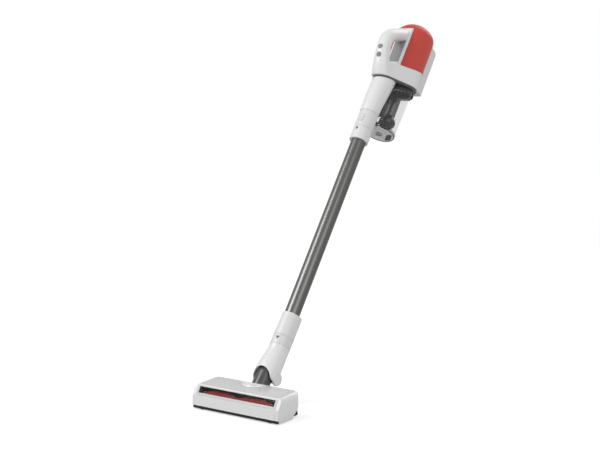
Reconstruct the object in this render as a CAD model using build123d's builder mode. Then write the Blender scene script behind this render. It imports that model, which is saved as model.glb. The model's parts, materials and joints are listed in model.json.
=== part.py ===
from build123d import *
import os
from math import cos, radians, sin, tan

# Cordless stick vacuum, millimetres. The origin is the middle of the hand grip, +Z is up, the floor
# head's front looks along -Y, and the stick leans back towards +Y while the head lies on the floor.
# Stick pieces are placed in the stick's own plane: x across, y towards the bin, z up the stick from
# the neck hinge. Head pieces are placed from the head's front lower edge and the floor.

# ---------------------------------------------------------------- driving dimensions

# clearances
shaft_gap = 0.05
slide_gap = 0.3
move_gap = 0.6
seat_gap = 0.1

# stick
stick_lean = 36.0
wand_d = 38.0
wand_wall = 1.2
wand_insert = 38.0
wand_shown = 499.0
liner_l = 60.0
liner_wall = 1.6
hinge_height = 64.5
hinge_back = 129.2

# neck
collar_base = 103.5
collar_top = 166.0
collar_across = 23.6
collar_deep = 27.5
collar_shift = 4.0
neck_bore_d = 33.0
band_base = 82.0
band_across = 24.8
band_deep = 27.0
band_shift = 1.5
boot_across = 29.5
boot_deep = 30.0
boot_shift = -6.5
boot_mid = 27.0
boot_low = 2.0
boot_high = 58.0
boot_wall = 3.0
hinge_drop = -18.0
leg_toe_w = 34.0
leg_chin_w = 7.0
leg_chin_t = 13.8
key_at = 140.0
key_long = 20.0
key_half = 6.0
key_deep = 6.0
key_proud = 0.8
key_sink = 1.2
key_travel = 2.0
boss_r = 15.5
boss_out = 31.0
arch_half = 25.0
arch_top = 16.0
rear_arch_half = 25.0
rear_arch_top = 33.0
pin_d = 8.0

# elbow duct
duct_lean = 42.3
duct_d = 42.0
duct_wall = 3.0
duct_offset = 13.0
duct_reach = 48.0
duct_swing_r = 34.0
hub_r = 11.0
hub_half = 24.5
turn_d = 48.0
turn_t = 8.0
socket_wall = 5.5
turn_proud = 1.6
pin_half = 29.5
socket_proud = 5.0
socket_depth = 22.0
duct_below = 20.0
duct_above = 60.0

# floor head
head_half = 125.0
end_cap_w = 9.5
cap_seam = head_half - end_cap_w
head_under = 9.8
cap_low = 2.0
lip_flare = 9.0
lip_shift = 4.0
lip_drop = 14.0
lip_rise = 3.0
strip_inset = 1.5
strip_half = head_half - strip_inset
strip_deep = 6.0
front_kink_y = 3.3
front_kink_z = 33.5
crest_y = 17.1
crest_z = 56.7
rear_top_y = 86.8
rear_top_z = 61.3
rear_low_y = 94.4
head_side_r = 16.0
head_rear_r = 22.0
head_front_r = 3.0
crown_r = 3.5
slider_inset = 25.0
slider_x = head_half - slider_inset
slider_y = 34.0
slider_l = 14.0
slider_w = 5.0
slider_travel = 5.0
slider_level = 54.4
slider_high = 4.4
bearing_depth = 6.0
wheel_notch = ((56.0, 0.0), (60.0, 7.0), (88.0, 29.0), (100.0, 35.0), (100.0, 0.0))
cap_pocket_y = 62.0
cap_pocket_z = 36.0
cap_pocket_l = 34.0
cap_pocket_h = 20.0
sole_front = 1.0
sole_back = 93.0
head_wall = 2.5
sole_under = 3.0
sole_inset = 0.2
sole_half = cap_seam - sole_inset
mouth_inset = 10.5
mouth_half = cap_seam - mouth_inset
mouth_front = 12.0
mouth_back = 49.0
window_inset = 4.5
window_half = cap_seam - window_inset
window_low = 5.6
window_high = 23.2
frame_low = 1.0
frame_high = 25.0
frame_inset = 0.4
frame_half = cap_seam - frame_inset
frame_proud = 0.8
pane_t = 2.0

# brush roll and drive
brush_y = 30.5
brush_z = 24.5
brush_r = 22.3
brush_core_r = 15.0
brush_inset = 12.5
brush_half = cap_seam - brush_inset
brush_shaft_r = 4.0
chamber_gap = 1.6
chamber_wall = 1.6
chamber_inset = 7.9
chamber_half = cap_seam - chamber_inset
chamber_window = 8.5
chamber_open = 22.0
outlet_z = 32.0
outlet_half = 20.0
outlet_high = 16.0
motor_y = 69.5
motor_z = 30.0
motor_r = 12.5
motor_l = 50.0
motor_inset = 20.5
motor_to = cap_seam - motor_inset
motor_from = motor_to - motor_l
brush_pulley_r = 11.0
motor_pulley_r = 6.0
pulley_inset = 5.9
pulley_from = cap_seam - pulley_inset
pulley_w = 2.2
belt_t = 1.2

# wheels
wheel_r = 11.0
wheel_w = 8.0
wheel_y = 80.0
wheel_inset = 11.5
wheel_x = cap_seam - wheel_inset
roller_r = 4.0
roller_w = 8.0
roller_y = 7.4
roller_inset = 16.5
roller_x = cap_seam - roller_inset
axle_r = 2.0
roller_axle_r = 1.2
roller_axle_reach = 2.0
axle_block_w = 3.0
axle_block_l = 9.0
axle_wall = 2.5

# wand socket and inlet of the hand unit
release_at = 725.0
release_deep = 6.2
release_travel = 2.0
bin_room_r = 46.0
port_low = 812.0
port_high = 846.0
port_half = 11.0
socket_base = 665.0
socket_seam = 700.7
inlet_base = 750.0
socket_across = 24.4
socket_deep = 24.5
socket_shift = -0.6
inlet_across = 30.0
inlet_deep = 30.5
inlet_shift = 8.0
inlet_flare = 36.0
inlet_bore_d = 32.0

# hand unit
can_w = 70.0
slant = 15.0
shoulder_slant = 19.0
gasket_at = 859.3
gasket_t = 5.2
band_at = 864.5
shoulder_at = 907.5
nose_r = 33.5
nose_w = 11.0
base_r = 55.0
cover_r = 53.0
cover_wall = 2.0
cover_straight = 1034.0
cover_top = 1069.0
cavity_r = 46.0
cavity_floor = 902.0
air_hole_r = 22.0
motor_can_r = 39.0
motor_can_top = 962.0
rotor_r = 34.0
rotor_shaft_r = 3.0
filter_r = 40.0
filter_base = 975.0
filter_top = 1035.0
grip_foot = (
    (850.0, 30.0, 30.0, 3.0),
    (880.0, 24.0, 24.3, -22.5),
    (905.0, 20.5, 20.0, -36.5),
    (930.0, 19.0, 17.2, -45.2),
)
grip_points = (
    (-38.8, 905.0),
    (-42.5, 915.5),
    (-46.5, 940.0),
    (-44.5, 960.0),
    (-28.0, 981.0),
    (0.0, 1002.0),
    (22.0, 1019.0),
)
plate_t = 3.0
seal_step = 0.7
vent_ring_r = 24.0
vent_hole_r = 6.0
vent_count = 8
rotor_hub_r = 8.0
blade_count = 9
blade_t = 1.4
blade_high = 12.0
grip_half = 19.0
grip_depth = 17.0
grip_station = 932.0
grip_forward = 45.5
spine_half = 21.5
spine_face = 14.5
spine_top = 1040.0
spine_crown = 8.0
panel_half = 16.0
panel_t = 1.2
panel_set = 0.5
button_pocket = 5.0
panel_low = 927.0
panel_high = 996.0
button_r = 6.6
button_proud = 1.2
button_travel = 1.5
power_at = 922.0
mode_at = 901.0
button_front = -55.0
button_tilt = 15.5

# battery
battery_half = 38.0
battery_rear = 138.0
battery_crown = 14.0
battery_front = 100.0
battery_low = 901.0
battery_top = 1043.0
battery_round = 9.0
rail_half = 12.0
rail_rear = 132.5
rail_t = 4.0
rail_neck = 5.0
rail_neck_half = 8.0
rail_low = 913.0
rail_high = 935.0
battery_step = 954.5
latch_half = 15.0
latch_t = 3.6
latch_rear = 137.0
latch_low = 888.0
latch_travel = 2.0
tongue_w = 2.5
tongue_high = 9.0
tongue_half = 8.0
catch_low = 1050.0
catch_high = 1064.0
catch_half = 14.0
catch_t = 1.6

# dust bin
bin_top_r = 44.5
bin_low_r = 42.0
bin_low = 744.0
bin_high = 880.0
bin_wall = 2.0
lid_t = 8.0
collar_ring_r = 45.0
shroud_w = 86.0
shroud_r = 14.0
shroud_low = 800.0
bell_r = 22.0
bell_low = 766.0
chute_half = 13.0
chute_low = 772.0
lid_pin_r = 1.5
lid_barrel_r = 2.7
lid_pin_w = 27.6
lid_pin_t = 739.3
lug_half = 12.0
lug_top = 746.0
barrel_half = 6.0
latch_boss = 2.4
latch_boss_half = 8.0
latch_boss_at = 752.5
latch_boss_l = 12.0
bin_latch_t = 3.0
bin_latch_l = 16.0
roof_at = 855.8
rim_at = 845.0
tab_from = 108.0
tab_to = 128.0
tab_half = 16.0
tab_low = 876.0
chute_front = 28.0
chute_back = 46.0
chute_wall = 2.0
knob_r = 9.0
knob_t = 3.0

# ---------------------------------------------------------------- frames

lean = radians(stick_lean)
up_stick = Vector(0, sin(lean), cos(lean))
back_stick = Vector(0, cos(lean), -sin(lean))
hinge_point = back_stick * grip_forward - up_stick * grip_station
stick = Plane(origin=hinge_point, x_dir=(1, 0, 0), z_dir=up_stick)
floor_z = hinge_point.Z - hinge_height
front_y = hinge_point.Y - hinge_back
slope = tan(radians(slant))
shoulder_slope = tan(radians(shoulder_slant))

duct_angle = radians(duct_lean)
duct_up = Vector(0, sin(duct_angle), cos(duct_angle))
duct_front = Vector(0, -cos(duct_angle), sin(duct_angle))
socket_point = hinge_point + duct_front * duct_offset - duct_up * duct_reach
duct = Plane(origin=socket_point, x_dir=(1, 0, 0), z_dir=duct_up)


def on_stick(u, w, t):
    """Point at u across, w towards the bin and t up the stick."""
    return stick.from_local_coords(Vector(u, w, t))


def stick_side(u=0.0):
    """Plane across the stick, drawn as (towards the bin, up the stick)."""
    return Plane(origin=hinge_point + Vector(u, 0, 0), x_dir=back_stick, z_dir=(1, 0, 0))


def slant_plane(t):
    """Plane of the hand unit's slanted joints, t up the stick at the wand's axis."""
    return Plane(origin=on_stick(0, 0, t), x_dir=(1, 0, 0), z_dir=up_stick - back_stick * slope)


def head_level(z):
    """Horizontal plane z above the floor, drawn as (across, back from the head's front)."""
    return Plane(origin=(0, front_y, floor_z + z), x_dir=(1, 0, 0), z_dir=(0, 0, 1))


def head_side(x):
    """Vertical plane at x across, drawn as (back from the head's front, above the floor)."""
    return Plane(origin=(x, front_y, floor_z), x_dir=(0, 1, 0), z_dir=(1, 0, 0))


def head_front(y):
    """Vertical plane y behind the head's front, drawn as (across, above the floor)."""
    return Plane(origin=(0, front_y + y, floor_z), x_dir=(1, 0, 0), z_dir=(0, -1, 0))


front_run = (crest_y - front_kink_y, crest_z - front_kink_z)
window_plane = Plane(
    origin=(0, front_y + front_kink_y, floor_z + front_kink_z),
    x_dir=(1, 0, 0),
    z_dir=Vector(0, -front_run[1], front_run[0]),
)
hinge_axis = Axis(hinge_point, (1, 0, 0))
rearward = Axis(hinge_point, back_stick)
stick_axis = Axis(hinge_point, up_stick)
rear_and_up = Axis((0, 0, 0), (1, 1, 0))
front_and_up = Axis((0, 0, 0), (-1, 1, 0))
can_axis = Axis(on_stick(0, can_w, 0), up_stick)
shroud_axis = Axis(on_stick(0, shroud_w, 0), up_stick)

os.makedirs("parts", exist_ok=True)


def save(piece, name):
    """Label a finished piece and write its STEP file."""
    piece.part.label = name
    export_step(piece.part, f"parts/{name}.step")


# ---------------------------------------------------------------- floor head

def head_form(inset, low, half):
    """The head's form from low above the floor up, drawn in by inset, half wide each way."""
    with BuildPart() as form:
        with BuildSketch(head_side(-half)):
            with BuildLine():
                Polyline(
                    (inset, low),
                    (front_kink_y + inset, front_kink_z),
                    (crest_y + inset, crest_z - inset),
                    (rear_top_y - inset, rear_top_z - inset),
                    (rear_low_y - inset, low),
                    close=True,
                )
            make_face()
        extrude(amount=2 * half)
        crown = form.edges().filter_by(Axis.X).sort_by(Axis.Z)[-2:]
        fillet(crown, crown_r - inset)
        with BuildSketch(head_front(0)) as ends:
            with Locations((0, rear_top_z / 2)):
                Rectangle(2 * (head_half - inset), rear_top_z)
            fillet(ends.vertices().group_by(Axis.Y)[-1], head_side_r - inset)
        extrude(amount=-rear_low_y, mode=Mode.INTERSECT)
        with BuildSketch(head_level(low)) as plan:
            with Locations((0, rear_low_y / 2)):
                Rectangle(2 * (head_half - inset), rear_low_y)
            fillet(plan.vertices().group_by(Axis.Y)[0], head_front_r)
            fillet(plan.vertices().group_by(Axis.Y)[-1], head_rear_r)
        extrude(amount=rear_top_z, mode=Mode.INTERSECT)
    return form.part


chamber_in_r = brush_r + chamber_gap
chamber_out_r = chamber_in_r + chamber_wall
sole_top = head_under - seat_gap
cover_form = head_form(0, head_under, cap_seam)
cover_hollow = head_form(head_wall, head_under - 1, cap_seam + 1)
full_form = head_form(0, cap_low, head_half)
turn_r = turn_d / 2
socket_in_r = turn_r + slide_gap
socket_out_r = socket_in_r + socket_wall

with BuildPart() as socket_lip:
    with BuildSketch(duct.offset(-lip_drop)):
        with Locations((0, -lip_shift)):
            Circle(socket_out_r + lip_flare)
    extrude(amount=lip_drop - lip_rise)
    with BuildSketch(duct.offset(-lip_rise)):
        with Locations((0, -lip_shift)):
            Circle(socket_out_r + lip_flare)
    with BuildSketch(duct.offset(socket_proud)):
        Circle(socket_out_r)
    loft()
    with BuildSketch(duct.offset(-2 * lip_drop)):
        with Locations((0, 2 * socket_out_r)):
            Rectangle(8 * socket_out_r, 4 * socket_out_r)
    extrude(amount=4 * lip_drop, mode=Mode.SUBTRACT)

with BuildPart() as head_cover:
    add(cover_form)
    add(socket_lip.part)
    add(cover_hollow, mode=Mode.SUBTRACT)
    with BuildSketch(duct.offset(-socket_depth)):
        Circle(socket_out_r)
        Circle(turn_r - 3, mode=Mode.SUBTRACT)
    extrude(amount=socket_depth + socket_proud)
    with BuildSketch(duct.offset(-socket_depth - duct_below)):
        Circle(turn_r - 3)
    extrude(amount=socket_depth + duct_above, mode=Mode.SUBTRACT)
    with BuildSketch(duct.offset(-turn_t - seat_gap)):
        Circle(socket_in_r)
    extrude(amount=socket_depth + duct_above, mode=Mode.SUBTRACT)
    with BuildSketch(head_side(-head_half)):
        with Locations((brush_y, brush_z)):
            Circle(chamber_out_r + seat_gap)
    extrude(amount=2 * head_half, mode=Mode.SUBTRACT)
    with BuildSketch(head_level(0)):
        Rectangle(4 * head_half, 4 * head_half)
    extrude(amount=head_under, mode=Mode.SUBTRACT)
    with BuildSketch(window_plane) as opening:
        with Locations((0, (window_low + window_high) / 2)):
            Rectangle(2 * window_half, window_high - window_low)
        fillet(opening.vertices(), 3)
    extrude(amount=head_wall * 3, both=True, mode=Mode.SUBTRACT)
    with BuildSketch(head_level(crest_z - head_wall * 2)):
        with Locations((slider_x, slider_y)):
            SlotOverall(slider_l + slider_travel, slider_w + 2 * slide_gap)
    extrude(amount=head_wall * 5, mode=Mode.SUBTRACT)
save(head_cover, "head_cover")

for cap_name, side in (("end_cap_left", -1), ("end_cap_right", 1)):
    cap_inner = Plane(origin=head_side(side * cap_seam).origin, x_dir=(0, 1, 0), z_dir=(1, 0, 0))
    with BuildPart() as end_cap:
        add(full_form)
        with BuildSketch(head_level(0)):
            with Locations((side * (cap_seam + seat_gap - 2 * head_half), 0)):
                Rectangle(4 * head_half, 4 * head_half)
        extrude(amount=2 * rear_top_z, mode=Mode.SUBTRACT)
        with BuildSketch(head_level(0)):
            Rectangle(4 * head_half, 2 * (strip_deep + slide_gap))
        extrude(amount=head_under, mode=Mode.SUBTRACT)
        with BuildSketch(cap_inner):
            with BuildLine():
                Polyline(*wheel_notch, close=True)
            make_face()
        extrude(amount=side * head_half, mode=Mode.SUBTRACT)
        with BuildSketch(cap_inner):
            with Locations((brush_y, brush_z)):
                Circle(brush_shaft_r + shaft_gap)
        extrude(amount=side * (bearing_depth + 1), mode=Mode.SUBTRACT)
        with BuildSketch(cap_inner):
            with Locations((cap_pocket_y, cap_pocket_z)):
                Rectangle(cap_pocket_l, cap_pocket_h)
        extrude(amount=side * (head_half - cap_seam - head_wall), mode=Mode.SUBTRACT)
    save(end_cap, cap_name)

with BuildPart() as sole_plate:
    with BuildSketch(head_level(sole_under)) as sole_plan:
        with Locations((0, (sole_front + sole_back) / 2)):
            Rectangle(2 * sole_half, sole_back - sole_front)
        fillet(sole_plan.vertices(), head_front_r)
    extrude(amount=sole_top - sole_under)
    with BuildSketch(head_level(cap_low)) as strip_plan:
        with Locations((0, (sole_front + strip_deep) / 2)):
            Rectangle(2 * strip_half, strip_deep - sole_front)
        fillet(strip_plan.vertices().group_by(Axis.Y)[0], head_front_r)
    extrude(amount=sole_top - cap_low)
    with BuildSketch(head_level(0)) as mouth:
        with Locations((0, (mouth_front + mouth_back) / 2)):
            Rectangle(2 * mouth_half, mouth_back - mouth_front)
        fillet(mouth.vertices(), 3)
    extrude(amount=head_under * 2, mode=Mode.SUBTRACT)
    for side in (-1, 1):
        with BuildSketch(head_side(side * wheel_x)):
            with Locations((wheel_y, sole_top)):
                Rectangle(axle_block_l, 2 * (wheel_r + axle_r - sole_top + axle_wall))
        extrude(amount=wheel_w / 2 + axle_block_w, both=True)
        with BuildSketch(head_level(0)):
            with Locations((side * wheel_x, wheel_y)):
                Rectangle(wheel_w + 2 * move_gap, 2 * (wheel_r + move_gap))
        extrude(amount=rear_top_z, mode=Mode.SUBTRACT)
        with BuildSketch(head_level(0)):
            with Locations((0, wheel_y)):
                Rectangle(4 * head_half, 4 * head_half)
        extrude(amount=sole_under, mode=Mode.SUBTRACT)
        with BuildSketch(head_side(side * wheel_x)):
            with Locations((wheel_y, wheel_r)):
                Circle(axle_r + shaft_gap)
        extrude(amount=wheel_w / 2 + axle_block_w, both=True, mode=Mode.SUBTRACT)
        with BuildSketch(head_level(0)):
            with Locations((side * roller_x, roller_y)):
                Rectangle(roller_w + 2 * move_gap, 2 * (roller_r + move_gap))
        extrude(amount=rear_top_z, mode=Mode.SUBTRACT)
        with BuildSketch(head_side(side * roller_x)):
            with Locations((roller_y, roller_r)):
                Circle(roller_axle_r + shaft_gap)
        extrude(amount=roller_w / 2 + roller_axle_reach + seat_gap, both=True, mode=Mode.SUBTRACT)
save(sole_plate, "sole_plate")

with BuildPart() as window_pane:
    with BuildSketch(window_plane.offset(-pane_t)) as glazing:
        with Locations((0, (window_low + window_high) / 2)):
            Rectangle(2 * (window_half - seat_gap), window_high - window_low - 2 * seat_gap)
        fillet(glazing.vertices(), 3)
    extrude(amount=pane_t - seat_gap)
save(window_pane, "window_pane")

with BuildPart() as window_frame:
    with BuildSketch(window_plane.offset(seat_gap)) as border:
        with Locations((0, (frame_low + frame_high) / 2)):
            Rectangle(2 * frame_half, frame_high - frame_low)
        with Locations((0, (window_low + window_high) / 2)):
            Rectangle(2 * (window_half - 1), window_high - window_low - 2, mode=Mode.SUBTRACT)
    extrude(amount=frame_proud)
save(window_frame, "window_frame")

with BuildPart() as brush_chamber:
    with BuildSketch(head_side(-chamber_half)):
        with Locations((brush_y, brush_z)):
            Circle(chamber_out_r)
    extrude(amount=2 * chamber_half)
    with BuildSketch(head_side(-chamber_half + chamber_wall)):
        with Locations((brush_y, brush_z)):
            Circle(chamber_in_r)
    extrude(amount=2 * (chamber_half - chamber_wall), mode=Mode.SUBTRACT)
    with BuildSketch(head_side(-head_half)):
        with Locations((brush_y, brush_z)):
            Circle(brush_core_r)
    extrude(amount=2 * head_half, mode=Mode.SUBTRACT)
    with BuildSketch(head_level(head_under)):
        Rectangle(4 * head_half, 4 * head_half)
    extrude(amount=-rear_top_z, mode=Mode.SUBTRACT)
    with BuildSketch(window_plane.offset(-chamber_window)):
        with Locations((0, (window_low + window_high) / 2)):
            Rectangle(2 * (chamber_half - 2 * chamber_wall), chamber_open)
    extrude(amount=rear_top_z, mode=Mode.SUBTRACT)
    with BuildSketch(head_front(brush_y)):
        with Locations((0, outlet_z)):
            RectangleRounded(2 * outlet_half, outlet_high, 3)
    extrude(amount=-rear_low_y, mode=Mode.SUBTRACT)
save(brush_chamber, "brush_chamber")

with BuildPart() as head_motor:
    with BuildSketch(head_side(-motor_to)):
        with Locations((motor_y, motor_z)):
            Circle(motor_r)
    extrude(amount=motor_to - motor_from)
    with BuildSketch(head_side(-motor_to)):
        with Locations((motor_y, motor_z)):
            Circle(axle_r + shaft_gap)
    extrude(amount=bearing_depth, mode=Mode.SUBTRACT)
    with BuildSketch(head_side(-motor_to)):
        with Locations((motor_y, (motor_z + sole_top) / 2)):
            Rectangle(motor_r, motor_z - sole_top)
    extrude(amount=motor_to - motor_from)
    with BuildSketch(head_side(-motor_to)):
        with Locations((motor_y, motor_z)):
            Circle(axle_r + shaft_gap)
    extrude(amount=bearing_depth, mode=Mode.SUBTRACT)
save(head_motor, "head_motor")

with BuildPart() as brush_core:
    with BuildSketch(head_side(-brush_half)):
        with Locations((brush_y, brush_z)):
            Circle(brush_core_r - move_gap)
    extrude(amount=2 * brush_half)
    with BuildSketch(head_side(-cap_seam - bearing_depth)):
        with Locations((brush_y, brush_z)):
            Circle(brush_shaft_r)
    extrude(amount=2 * (cap_seam + bearing_depth))
    with BuildSketch(head_side(-pulley_from - pulley_w)):
        with Locations((brush_y, brush_z)):
            Circle(brush_pulley_r)
    extrude(amount=pulley_w)
save(brush_core, "brush_core")

with BuildPart() as brush_bristles:
    with BuildSketch(head_side(-brush_half + 1)):
        with Locations((brush_y, brush_z)):
            Circle(brush_r)
            Circle(brush_core_r - move_gap + seat_gap, mode=Mode.SUBTRACT)
    extrude(amount=2 * (brush_half - 1))
save(brush_bristles, "brush_bristles")

with BuildPart() as motor_pulley:
    with BuildSketch(head_side(-pulley_from - pulley_w)):
        with Locations((motor_y, motor_z)):
            Circle(motor_pulley_r)
    extrude(amount=pulley_w)
    with BuildSketch(head_side(-pulley_from)):
        with Locations((motor_y, motor_z)):
            Circle(axle_r)
    extrude(amount=pulley_from - motor_to + bearing_depth - 1)
save(motor_pulley, "motor_pulley")

with BuildPart() as drive_belt:
    with BuildSketch(head_side(-pulley_from - pulley_w)):
        with Locations((brush_y, brush_z)):
            Circle(brush_pulley_r + slide_gap + belt_t)
        with Locations((motor_y, motor_z)):
            Circle(motor_pulley_r + slide_gap + belt_t)
        make_hull()
    extrude(amount=pulley_w)
    with BuildSketch(head_side(-pulley_from - pulley_w)):
        with Locations((brush_y, brush_z)):
            Circle(brush_pulley_r + slide_gap)
        with Locations((motor_y, motor_z)):
            Circle(motor_pulley_r + slide_gap)
        make_hull()
    extrude(amount=pulley_w, mode=Mode.SUBTRACT)
save(drive_belt, "drive_belt")

for side_name, side in (("left", -1), ("right", 1)):
    with BuildPart() as rear_wheel:
        with BuildSketch(head_side(side * wheel_x)) as wheel_disc:
            with Locations((wheel_y, wheel_r)):
                Circle(wheel_r)
        extrude(amount=wheel_w / 2, both=True)
        fillet(rear_wheel.edges().filter_by(GeomType.CIRCLE), 1.2)
        with BuildSketch(head_side(side * wheel_x)):
            with Locations((wheel_y, wheel_r)):
                Circle(axle_r)
        extrude(amount=wheel_w / 2 + axle_block_w - seat_gap, both=True)
    save(rear_wheel, f"rear_wheel_{side_name}")

    with BuildPart() as front_roller:
        with BuildSketch(head_side(side * roller_x)):
            with Locations((roller_y, roller_r)):
                Circle(roller_r)
        extrude(amount=roller_w / 2, both=True)
        fillet(front_roller.edges().filter_by(GeomType.CIRCLE), 0.8)
        with BuildSketch(head_side(side * roller_x)):
            with Locations((roller_y, roller_r)):
                Circle(roller_axle_r)
        extrude(amount=roller_w / 2 + roller_axle_reach, both=True)
    save(front_roller, f"front_roller_{side_name}")

with BuildPart() as cap_slider:
    with BuildSketch(head_level(slider_level)):
        with Locations((slider_x - slider_travel / 2, slider_y)):
            SlotOverall(slider_l, slider_w)
    extrude(amount=slider_high)
    with BuildSketch(head_level(slider_level)):
        with Locations((slider_x - slider_travel / 2, slider_y)):
            Rectangle(slider_l + 4, slider_w + 4)
    extrude(amount=-1.6)
save(cap_slider, "cap_slider")

# ---------------------------------------------------------------- elbow duct

duct_r = duct_d / 2
hinge_side = Plane(origin=hinge_point, x_dir=(0, 1, 0), z_dir=(1, 0, 0))
with BuildPart() as elbow_duct:
    with BuildSketch(duct.offset(duct_reach)):
        Circle(duct_r)
    extrude(amount=duct_swing_r)
    with Locations(hinge_point):
        Sphere(duct_swing_r, mode=Mode.INTERSECT)
    with BuildSketch(duct):
        Circle(duct_r)
    extrude(amount=duct_reach)
    with BuildSketch(hinge_side):
        Circle(hub_r)
    extrude(amount=hub_half, both=True)
    with BuildSketch(duct.offset(-turn_t)):
        Circle(turn_r)
    extrude(amount=turn_t + turn_proud)
    with BuildSketch(duct.offset(-turn_t)):
        Circle(duct_r - duct_wall)
    extrude(amount=duct_reach + 2 * duct_swing_r, mode=Mode.SUBTRACT)
    with BuildSketch(hinge_side):
        Circle(pin_d / 2)
    extrude(amount=2 * duct_d, both=True, mode=Mode.SUBTRACT)
save(elbow_duct, "elbow_duct")

with BuildPart() as hinge_pin:
    with BuildSketch(hinge_side):
        Circle(pin_d / 2)
    extrude(amount=pin_half, both=True)
save(hinge_pin, "hinge_pin")

# ---------------------------------------------------------------- neck

def stick_loft(stations):
    """Smooth solid through ellipses, each (t up the stick, across, deep, shift to the bin)."""
    with BuildPart() as body:
        for t, across, deep, shift in stations:
            with BuildSketch(stick.offset(t)):
                with Locations((0, shift)):
                    Ellipse(across, deep)
        loft()
    return body.part


wand_r = wand_d / 2
wand_bore_r = wand_r + slide_gap
wand_low = collar_top - wand_insert
wand_high = collar_top + wand_shown + wand_insert
neck_key_w = collar_shift + collar_deep - key_sink + key_proud
collar_outer = stick_loft((
    (collar_base + seat_gap, band_across, band_deep, band_shift + 0.4),
    (collar_top, collar_across, collar_deep, collar_shift),
))
band_outer = stick_loft((
    (band_base + seat_gap, band_across, band_deep, band_shift),
    (collar_base, band_across, band_deep, band_shift + 0.4),
))
boot_stations = (
    (hinge_drop, boot_across, boot_deep + 1, boot_shift - 1),
    (boot_low, boot_across + 0.6, boot_deep + 1, boot_shift - 1.5),
    (boot_mid, boot_across, boot_deep, boot_shift),
    (boot_high, band_across + 1.2, band_deep + 0.6, band_shift - 2.5),
    (band_base, band_across, band_deep, band_shift),
)
boot_outer = stick_loft(boot_stations)
boot_inner = stick_loft(tuple(
    (t, across - boot_wall, deep - boot_wall, shift) for t, across, deep, shift in boot_stations
))

with BuildPart() as neck_collar:
    add(collar_outer)
    with BuildSketch(stick.offset(collar_base)):
        Circle(neck_bore_d / 2)
    extrude(amount=collar_top, mode=Mode.SUBTRACT)
    with BuildSketch(stick.offset(wand_low - seat_gap)):
        Circle(wand_bore_r)
    extrude(amount=collar_top, mode=Mode.SUBTRACT)
    with BuildSketch(stick_side()):
        with Locations((neck_key_w - key_deep / 2, key_at)):
            Rectangle(key_deep + 2 * slide_gap, key_long + 2 * slide_gap)
    extrude(amount=key_half + slide_gap, both=True, mode=Mode.SUBTRACT)
save(neck_collar, "neck_collar")

with BuildPart() as neck_button:
    with BuildSketch(stick_side()):
        with Locations((neck_key_w - (key_deep - key_travel) / 2, key_at)):
            Rectangle(key_deep - key_travel, key_long)
    extrude(amount=key_half, both=True)
    fillet(neck_button.faces().sort_by(rearward)[-1].edges(), 1.0)
save(neck_button, "neck_button")

with BuildPart() as neck_band:
    add(band_outer)
    with BuildSketch(stick.offset(band_base)):
        Circle(neck_bore_d / 2)
    extrude(amount=collar_base, mode=Mode.SUBTRACT)
save(neck_band, "neck_band")

with BuildPart() as ball_room_body:
    with Locations(hinge_point):
        Sphere(duct_swing_r + move_gap)
    with BuildSketch(stick_side()):
        Circle(2 * duct_swing_r)
    extrude(amount=hub_half + move_gap, both=True, mode=Mode.INTERSECT)
ball_room = ball_room_body.part
with BuildPart() as neck_boot:
    add(boot_outer)
    add(boot_inner, mode=Mode.SUBTRACT)
    with BuildSketch(stick_side()) as leg_shape:
        with Locations((0, 4 * duct_swing_r)):
            Rectangle(8 * duct_swing_r, 8 * duct_swing_r)
        Circle(boss_r)
        with BuildLine():
            Polyline((-leg_toe_w, 0), (-leg_chin_w, -leg_chin_t), (0, 0), close=True)
        make_face()
    extrude(amount=3 * boot_across, both=True, mode=Mode.INTERSECT)
    with BuildSketch(stick_side()):
        Circle(boss_r)
    extrude(amount=boss_out, both=True)
    add(ball_room, mode=Mode.SUBTRACT)
    with BuildSketch(stick_side()):
        Circle(pin_d / 2 + shaft_gap)
    extrude(amount=pin_half + slide_gap, both=True, mode=Mode.SUBTRACT)
    front_arch = Plane(origin=on_stick(0, -boss_r, 0), x_dir=(1, 0, 0), z_dir=-back_stick)
    with BuildSketch(front_arch):
        with Locations((0, arch_top - arch_half)):
            Circle(arch_half)
        with Locations((0, arch_top - arch_half - duct_swing_r)):
            Rectangle(2 * arch_half, 2 * duct_swing_r)
    extrude(amount=3 * boot_deep, mode=Mode.SUBTRACT)
    rear_arch = Plane(origin=on_stick(0, boss_r * 0.6, 0), x_dir=(-1, 0, 0), z_dir=back_stick)
    with BuildSketch(rear_arch) as rear_opening:
        with Locations((0, rear_arch_top - 2 * duct_swing_r)):
            Rectangle(2 * rear_arch_half, 4 * duct_swing_r)
        fillet(rear_opening.vertices(), 6)
    extrude(amount=3 * boot_deep, mode=Mode.SUBTRACT)
save(neck_boot, "neck_boot")

# ---------------------------------------------------------------- wand

with BuildPart() as wand_tube:
    with BuildSketch(stick.offset(wand_low)):
        Circle(wand_r)
        Circle(wand_r - wand_wall, mode=Mode.SUBTRACT)
    extrude(amount=wand_high - wand_low)
save(wand_tube, "wand_tube")

liner_r = wand_r - wand_wall - shaft_gap
liner_starts = (("wand_liner_low", wand_low), ("wand_liner_high", wand_high - liner_l))
for liner_name, liner_from in liner_starts:
    with BuildPart() as wand_liner:
        with BuildSketch(stick.offset(liner_from)):
            Circle(liner_r)
            Circle(liner_r - liner_wall, mode=Mode.SUBTRACT)
        extrude(amount=liner_l)
    save(wand_liner, liner_name)

# ---------------------------------------------------------------- wand socket and inlet sleeve

with BuildPart() as wand_socket:
    add(stick_loft((
        (socket_base, socket_across, socket_deep - 0.4, socket_shift),
        (socket_seam, socket_across + 0.2, socket_deep, socket_shift),
    )))
    with BuildSketch(stick.offset(socket_base)):
        Circle(wand_bore_r)
    extrude(amount=socket_seam, mode=Mode.SUBTRACT)
save(wand_socket, "wand_socket")

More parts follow.
